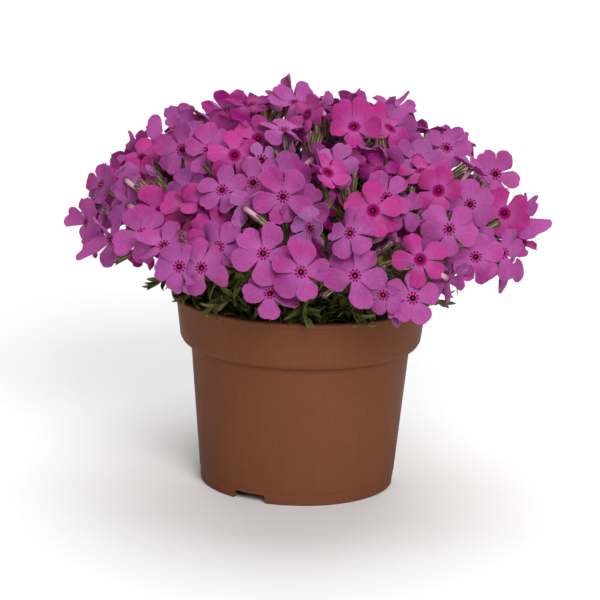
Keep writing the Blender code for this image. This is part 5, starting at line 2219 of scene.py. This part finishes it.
@dataclass(frozen=True)
class Petal:
    """One petal: a claw joined to its neighbours, and a broad, round, shallowly notched blade.

    Its width, notch, cup, rise and waves are shares of its radius, which runs from the bloom's middle.
    """

    radius: float
    curl: float
    lift: float
    twist: float
    width: float
    notch: float
    cup: float
    bend: float
    swing: float
    ripple: float
    phase: float
    throat: float = 0.95 * MM
    joined: float = 2.7 * MM
    depth: float = 0.9 * MM
    claw_rows: int = 2
    shoulder: float = 1.1
    shoulder_width: float = 0.68
    shoulder_sag: float = 0.02
    widest: float = 0.62
    roundness: float = 0.9
    notch_narrowness: float = 1.6
    free_from: float = 0.5
    groove: float = 0.012
    groove_narrowness: int = 3
    waves: tuple[int, int, int] = (9, 7, 5)
    swing_reach: float = 0.35
    count: int = 5

    def point(self, across: float, row: int, rows: int) -> Vector:
        """Gives one corner of the petal.

        Args:
            across: How far across it lies, from -1 to 1.
            row: Its row, from nought at the throat.
            rows: The last row.

        Returns:
            The corner, in the bloom's axes, for the petal that lies along X.
        """
        if row < self.claw_rows:
            reach = self.joined if row else self.throat
            angle = -across * math.pi / self.count
            return self.raised(reach * math.cos(angle), reach * math.sin(angle), reach, 0.0)
        middle = self.widest * self.radius
        half = self.width * self.radius
        if row == self.claw_rows:
            x = (self.joined * self.shoulder + middle) / 2
            y = half * self.shoulder_width
            x -= self.shoulder_sag * self.radius * across * across
        else:
            end = (row - self.claw_rows - 1) / (rows - self.claw_rows - 1)
            end = math.sin(end * math.pi / 2) ** self.roundness
            x = middle + (self.radius - middle) * end * math.sqrt(1 - across * across / 2)
            y = half * math.sqrt(1 - end * end / 2)
            dent = self.notch * max(1 - abs(across) * self.notch_narrowness, 0.0) * end**3
            x -= dent * self.radius
            wave = math.sin(self.waves[0] * across + self.phase)
            x += 0.5 * self.ripple * self.radius * wave * end
        return self.raised(x, self.swing * x - across * y, math.hypot(x, across * y), across)

    def raised(self, x: float, y: float, reach: float, across: float) -> Vector:
        """Lifts a corner to its height.

        Args:
            x: How far along the petal it lies.
            y: How far to its left.
            reach: How far from the bloom's middle.
            across: How far across, from -1 to 1.

        Returns:
            The corner.
        """
        share = reach / self.radius
        free = min(max((reach - self.joined) / (self.free_from * self.radius), 0.0), 1.0)
        height = self.curl * share - self.twist * y / (self.swing_reach * self.radius) * free
        height += self.lift * share * free
        height += (self.cup * across * across + self.bend * share * free) * free
        height -= self.groove * max(1 - self.groove_narrowness * abs(across), 0.0) * free
        wave = math.sin(self.waves[1] * across + self.waves[2] * share + self.phase)
        height += self.ripple * wave * free * share * share
        return Vector((x, y, height * self.radius - self.depth * (1 - share)))


@dataclass(frozen=True)
class Corolla:
    """A limb of five petals, joined round its throat."""

    petals: int = 5
    columns: int = 4
    rows: int = 6
    thickness: float = 0.25 * MM
    width: Span = (0.33, 0.45)
    length: Span = (0.9, 1.03)
    notch: Span = (0.02, 0.12)
    cup: Span = (-0.16, 0.12)
    ripple: Span = (0.01, 0.035)
    unlike: float = 0.095
    opening: Row = (0.0, 0.0, 0.0, -0.16, 0.2)
    tint_spread: float = 0.035
    seam: float = 0.05 * MM

    def add(self, work: Workpiece, bloom: Bloom, tint: Colour, draw: Draw) -> None:
        """Lays the petals, joins their claws and gives them their thickness.

        Args:
            work: The head's piece.
            bloom: The bloom.
            tint: Its colour.
            draw: The random draws.
        """
        axes = bloom.frame()
        cup = draw.uniform(*self.cup)
        opening = draw.choice(self.opening)
        limb, seams = [], []
        for number in range(self.petals):
            petal = Petal(
                radius=bloom.radius * draw.uniform(*self.length),
                curl=bloom.curl,
                lift=opening + draw.normal(0, self.unlike),
                twist=bloom.twist + draw.normal(0, self.unlike * 2),
                width=draw.uniform(*self.width),
                notch=draw.uniform(*self.notch),
                cup=cup + draw.normal(0, self.unlike),
                bend=draw.normal(0, self.unlike * 1.5),
                swing=draw.normal(0, self.unlike),
                ripple=draw.uniform(*self.ripple),
                phase=draw.uniform(0, math.tau),
            )
            place = axes @ Matrix.Rotation(number * math.tau / self.petals, 4, "Z")
            shade = (*varied(tint, draw, self.tint_spread), EYES.get(bloom.tone, 0.0))
            for vert, across, along in work.sheet(self.columns, self.rows):
                row = round(along * self.rows)
                point = petal.point(across, row, self.rows)
                vert.co = place @ point
                vert[work.across] = abs(point.y) / MM
                vert[work.along] = point.x / MM
                vert[work.tint] = shade
                limb.append(vert)
                if row < petal.claw_rows and abs(across) > 0.9:
                    seams.append(vert)
        bmesh.ops.remove_doubles(work.bm, verts=seams, dist=self.seam)
        work.thicken([vert for vert in limb if vert.is_valid], self.thickness)


@dataclass(frozen=True)
class Tube:
    """A corolla's slim tube, open at its mouth, with an anther in the throat."""

    mouth_depth: float = 1.05 * MM
    funnel: Span = (3.9 * MM, 2.0 * MM)
    funnel_radii: Triple = (0.45 * MM, 0.75 * MM, 0.98 * MM)
    outer_radii: Row = (1.45 * MM, 1.15 * MM, 1.0 * MM, 0.9 * MM, 0.85 * MM)
    longest: float = 12 * MM
    share: float = 0.5
    sides: int = 8
    anther_place: Triple = (0.15 * MM, 0.0, -1.25 * MM)
    anther_size: Triple = (0.38 * MM, 0.38 * MM, 0.494 * MM)

    def length(self, route: Route) -> float:
        """How long the tube is on a stalk."""
        return min(self.longest, route.length * self.share)

    def add(self, work: Workpiece, bloom: Bloom, route: Route) -> None:
        """Sweeps the tube down its inside, over its mouth and down to the calyx.

        Args:
            work: The head's piece.
            bloom: The bloom.
            route: Its stalk, from the mouth down.
        """
        places = [route.at(reach) for reach in (*self.funnel, 0.0)]
        inner, outer = len(places), len(self.outer_radii)
        places += route.between(0.0, self.length(route), outer)
        made = work.strand(places, self.funnel_radii + self.outer_radii, self.sides)
        work.paint(made, TUBE)
        for number, vert in enumerate(made):
            ring = number // self.sides
            # The rings inside the mouth are marked for the tube's painted shade.
            vert[work.under] = float(ring <= inner)
            vert[work.along] = max(ring - inner, 0) / (outer - 1)
        axes = bloom.frame() @ Matrix.Translation(self.anther_place)
        work.pebble(axes @ Matrix.Diagonal((*self.anther_size, 1.0)), POLLEN)


@dataclass(frozen=True)
class Calyx:
    """Five narrow sepals joined by pale skin into a pointed, ribbed cup."""

    lower_reach: float = 6 * MM
    upper_reach: float = 2 * MM
    fullest: float = 0.62
    tooth: float = 3.4 * MM
    radii: Row = (0.55 * MM, 1.25 * MM, 1.4 * MM, 1.25 * MM)
    sides: int = 10
    flare: float = 1.35
    ring_along: float = 0.28
    thickness: float = 0.16 * MM

    def add(self, work: Workpiece, route: Route, middle: float, size: float = 1.0) -> None:
        """Draws the cup up from the stalk, with every other corner a tooth.

        Args:
            work: The piece.
            route: The stalk, from the bloom down.
            middle: The distance along it at which the tube leaves the cup.
            size: Its size as a share of a full one.
        """
        reaches = (self.lower_reach, self.lower_reach * self.fullest, 0.0, -self.upper_reach)
        rings, section, _ = work.rings(len(reaches), self.sides, capped=False)
        for number, (ring, reach, radius) in enumerate(zip(rings, reaches, self.radii)):
            for side, (vert, corner) in enumerate(zip(ring, section)):
                rib = side % 2 == 0
                tooth = rib and ring is rings[-1]
                back, flare = (self.tooth, self.flare) if tooth else (0.0, 1.0)
                vert.co = route.at(middle + (reach - back) * size) @ (corner * radius * size * flare)
                vert[work.across] = float(rib)
                vert[work.along] = 1.0 if tooth else number * self.ring_along
        made = list(itertools.chain(*rings))
        bmesh.ops.recalc_face_normals(work.bm, faces=faces_at(made))
        work.paint(work.thicken(made, self.thickness * size), CALYX)


@dataclass
class FlowerHead:
    """One head: a green knob with bracts, from which its flowers' stalks spring."""

    head: Head
    seed: int = 40
    tint_spread: float = 0.09
    root_sunk: float = 1.6 * MM
    bend_share: float = 0.45
    middle_shares: Triple = (0.3025, 0.495, 0.2025)
    stalk_points: int = 12
    knob_radius: float = 2.9 * MM
    knob_reach: float = 3
    knob_shape: Row = (0.5, 0.85, 1.0, 0.85, 0.4)
    knob_sides: int = 8
    bracts: int = 7
    bract_length: float = 11 * MM
    bract_lengths: Span = (0.7, 1.1)
    bract_foot: float = 0.6
    bract_leans: Span = (0.9, 0.5)
    bract_middle: float = 0.5
    bract_tint_spread: float = 0.12
    spare: int = 13
    spare_turn: float = 0.8
    spare_reach: Span = (21 * MM, 33 * MM)
    spare_tilt: Span = (0.2, 1.1)
    spare_depth: float = 0.99
    spare_shrink: float = 0.93
    spare_bend: float = 0.4
    spare_bow: float = 1.5
    spare_middle: float = 3.6 * MM
    spare_size: float = 0.9
    spare_radii: Row = (0.9 * MM, 1.1 * MM, 0.8 * MM, 0.2 * MM)
    spare_span: Span = (5 * MM, -1 * MM)
    spare_tint_spread: float = 0.1
    dome: Dome = field(default_factory=Dome)
    pedicel_radii: Span = (0.55 * MM, 0.75 * MM)
    pedicel_sides: int = 6
    pedicel_shares: Span = (0.7, 0.8)
    bud_radii: Row = (0.75 * MM, 1.25 * MM, 1.95 * MM, 1.9 * MM, 1.3 * MM, 0.35 * MM)
    bud_sides: int = 10
    bud_turn: float = 0.45
    bud_fold: float = 0.82
    bud_bend: float = 0.6
    bud_shares: Span = (0.3, 0.7)
    bud_tint_spread: float = 0.06
    bud_tube: Row = (0.95 * MM, 0.85 * MM, 0.8 * MM, 0.75 * MM)
    bud_tube_span: Span = (-1 * MM, 7 * MM)
    bud_calyx: float = 6 * MM
    bud_size: float = 0.95
    corolla: Corolla = field(default_factory=Corolla)
    tube: Tube = field(default_factory=Tube)
    calyx: Calyx = field(default_factory=Calyx)

    def build(self) -> Object:
        """Builds the knob and every flower on it.

        Returns:
            The piece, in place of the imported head.
        """
        head = self.head
        draw = self.draw = np.random.default_rng(self.seed + head.number)
        name = f"flowers_{head.number:02d}"
        work = self.work = Workpiece(name, PETAL, TUBE, CALYX, LEAF, STEM, POLLEN)
        self.add_knob()
        for bloom in head.blooms:
            tint = varied(TONES[bloom.tone], draw, self.tint_spread)
            if bloom.bud:
                self.add_bud(bloom)
            else:
                route = self.stalk(bloom)
                self.corolla.add(work, bloom, tint, draw)
                self.tube.add(work, bloom, route)
                self.add_pedicel(route, self.tube.length(route))
            work.rest()
        for number in range(self.spare):
            self.add_spare(number)
        return work.done("petal", head.flower_node)

    def add_spare(self, number: int) -> None:
        """Adds a calyx without a bloom, either spent or still shut on its mauve tip.

        Args:
            number: Which one, from nought.
        """
        head, draw, work = self.head, self.draw, self.work
        out = around(head.axis, number * GOLDEN_TURN + draw.uniform(0, self.spare_turn))
        tilt = draw.uniform(*self.spare_tilt)
        way = head.axis * math.cos(tilt) + out * math.sin(tilt)
        reach = draw.uniform(*self.spare_reach)
        while self.dome.offset(head.core + way * reach).length > self.spare_depth:
            reach *= self.spare_shrink
        tip = head.core + way * reach
        base = head.core + way * self.root_sunk
        bend = base.lerp(tip, self.spare_bend) + out * self.spare_bow * MM
        route = Route(bezier([tip, bend, base], 10))
        self.add_pedicel(route, self.spare_middle, self.spare_size)
        if number % 2:
            places = route.between(*self.spare_span, len(self.spare_radii))
            petals = work.strand(places, self.spare_radii, self.pedicel_sides, pointed=True)
            work.furl(petals, varied(TONES[Tone.MAUVE], draw, self.spare_tint_spread))
        work.rest()

    def add_knob(self) -> None:
        """Adds the knob where the stalks meet, and the bracts round it."""
        core, axis, draw, work = self.head.core, self.head.axis, self.draw, self.work
        half = axis * self.knob_reach * MM
        places = Route([core - half, core + half]).whole(len(self.knob_shape))
        radii = [share * self.knob_radius for share in self.knob_shape]
        work.paint(work.strand(places, radii, self.knob_sides), LEAF, GREENS[1])
        for number in range(self.bracts):
            out = around(axis, number * GOLDEN_TURN)
            base = core + out * self.knob_radius * self.bract_foot
            length = self.bract_length * draw.uniform(*self.bract_lengths)
            path = arched(base, axis, out, length, self.bract_leans, self.bract_middle)
            tint = varied(GREENS[number % len(GREENS)], draw, self.bract_tint_spread)
            Leaf().add(work, path, tint)

    def stalk(self, bloom: Bloom) -> Route:
        """Leads a flower's stalk straight out of its limb, then round to the core.

        Args:
            bloom: The bloom.

        Returns:
            The stalk, from the tube's mouth down.
        """
        core = self.head.core
        mouth = bloom.centre - bloom.facing * self.tube.mouth_depth
        bend = mouth - bloom.facing * (mouth - core).length * self.bend_share
        near, mid, far = self.middle_shares
        middle = mouth * near + bend * mid + core * far
        root = core + (middle - core).normalized() * self.root_sunk
        return Route(bezier([mouth, bend, root], self.stalk_points), bloom.frame())

    def add_pedicel(self, route: Route, middle: float, size: float = 1.0) -> None:
        """Adds a calyx and the thin stalk from it down to the knob.

        Args:
            route: The stalk.
            middle: How far along it the tube leaves the calyx.
            size: The calyx's share of its full size.
        """
        self.calyx.add(self.work, route, middle, size)
        reach, share = self.pedicel_shares
        first = min(middle + self.calyx.lower_reach * reach, route.length * share)
        self.work.stem(route.between(first, route.length, 5), self.pedicel_radii, self.pedicel_sides)

    def add_bud(self, bloom: Bloom) -> None:
        """Adds a furled pink bud on its tube.

        Args:
            bloom: The bud.
        """
        tint = varied(TONES[Tone.LILAC], self.draw, self.bud_tint_spread)
        core, tip, work = self.head.core, bloom.centre, self.work
        neck = tip - bloom.facing * bloom.radius
        bend = neck - bloom.facing * bloom.radius * self.bud_bend
        root = core + (bend - core).normalized() * self.root_sunk
        near, far = self.bud_shares
        route = Route([tip] + bezier([neck, neck * near + bend * far, root], self.stalk_points))
        places = route.between(bloom.radius, 0.0, len(self.bud_radii))
        turns = [place @ Matrix.Rotation(k * self.bud_turn, 4, "Z") for k, place in enumerate(places)]
        made = work.strand(turns, self.bud_radii, self.bud_sides, pointed=True)
        for number, vert in enumerate(made):
            if number % 2 and number < self.bud_sides * (len(turns) - 1):
                middle = turns[number // self.bud_sides].translation
                vert.co = middle + (vert.co - middle) * self.bud_fold
        work.furl(made, tint, (1.0, 2.0))
        first, last = self.bud_tube_span
        places = route.between(bloom.radius + first, bloom.radius + last, len(self.bud_tube))
        made = work.strand(places, self.bud_tube, self.pedicel_sides)
        work.paint(made, TUBE)
        for number, vert in enumerate(made):
            vert[work.along] = number // self.pedicel_sides / (len(self.bud_tube) - 1)
        self.add_pedicel(route, bloom.radius + self.bud_calyx, self.bud_size)


@dataclass(frozen=True)
class Lamp:
    """A soft square light, turned to the plant or straight down."""

    name: str
    place: Triple
    size: float
    power: float
    down: bool = False

    def hang(self, aim: Vector) -> None:
        """Hangs the lamp.

        Args:
            aim: What it is turned to, unless it looks straight down.
        """
        light = bpy.data.lights.new(self.name, "AREA")
        light.size = self.size
        light.energy = self.power
        lamp = linked(self.name, light)
        lamp.location = self.place
        toward = -UP if self.down else aim - lamp.location
        lamp.rotation_euler = toward.to_track_quat("-Z", "Y").to_euler()


@dataclass
class Studio:
    """A pale floor, soft light and the camera on the sight line."""

    sight: SightLine
    floor_size: float = 12.0
    world: Colour = (1.0, 1.0, 1.0)
    world_strength: float = 0.12
    lamps: tuple[Lamp, ...] = (
        Lamp("key", (0.45, -1.65, 1.15), 0.9, 35.0),
        Lamp("fill", (-0.9, -1.3, 0.9), 1.2, 2.5),
        Lamp("top", (0.1, 0.3, 1.9), 1.5, 21.0),
        Lamp("far", (0.0, 2.4, 1.6), 2.4, 45.0, down=True),
    )

    def build(self) -> None:
        """Sets up the floor, the lights and the camera."""
        bpy.context.scene.view_settings.view_transform = "Standard"
        bm = bmesh.new()
        bmesh.ops.create_grid(bm, x_segments=2, y_segments=2, size=self.floor_size / 2)
        floor = meshed("floor", bm, FLOOR)
        self.add_world()
        for lamp in self.lamps:
            lamp.hang(UP * self.sight.aim_height)
        self.add_camera()

    def add_world(self) -> None:
        """Fills the room with an even pale light."""
        world = bpy.data.worlds.new("studio")
        world.use_nodes = True
        background = world.node_tree.nodes["Background"]
        background.inputs["Color"].default_value = (*self.world, 1.0)
        background.inputs["Strength"].default_value = self.world_strength
        bpy.context.scene.world = world

    def add_camera(self) -> None:
        """Places the camera where the picture was taken from."""
        sight = self.sight
        middle = sight.picture_size / 2
        ahead = sight.line(middle, middle).normalized()
        across = sight.axes()[0]
        right = (across - ahead * across.dot(ahead)).normalized()
        turn = Matrix((right, right.cross(ahead), -ahead)).transposed()
        data = bpy.data.cameras.new("camera")
        data.sensor_width = sight.sensor
        data.lens = sight.focus / sight.picture_size * sight.sensor
        camera = linked("camera", data)
        camera.matrix_world = Matrix.Translation(sight.eye()) @ turn.to_4x4()
        bpy.context.scene.camera = camera


def clear_startup() -> None:
    """Removes what Blender starts with, and keeps the frame."""
    kept = set(frame["nodes"].values()) | set(frame["bodies"].values())
    for found in list(bpy.data.objects):
        if found not in kept:
            bpy.data.objects.remove(found)


def report(piece: Object) -> None:
    """Logs a finished piece."""
    LOG.info("%s: %d faces", piece.name, len(piece.data.polygons))


def main() -> None:
    """Builds the studio, the pot, the soil and the plant, and logs each piece's face count."""
    logging.basicConfig(level=logging.INFO, format="%(message)s")
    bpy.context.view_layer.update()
    clear_startup()
    sight = SightLine()
    Studio(sight).build()
    pot = Pot()
    report(pot.build())
    soil = Soil(pot)
    report(soil.build())
    report(Undergrowth(soil).build())
    for head in Planting(sight, Dome()).grow():
        report(LeafyStem(head).build())
        report(FlowerHead(head).build())


if __name__ == "__main__":
    main()
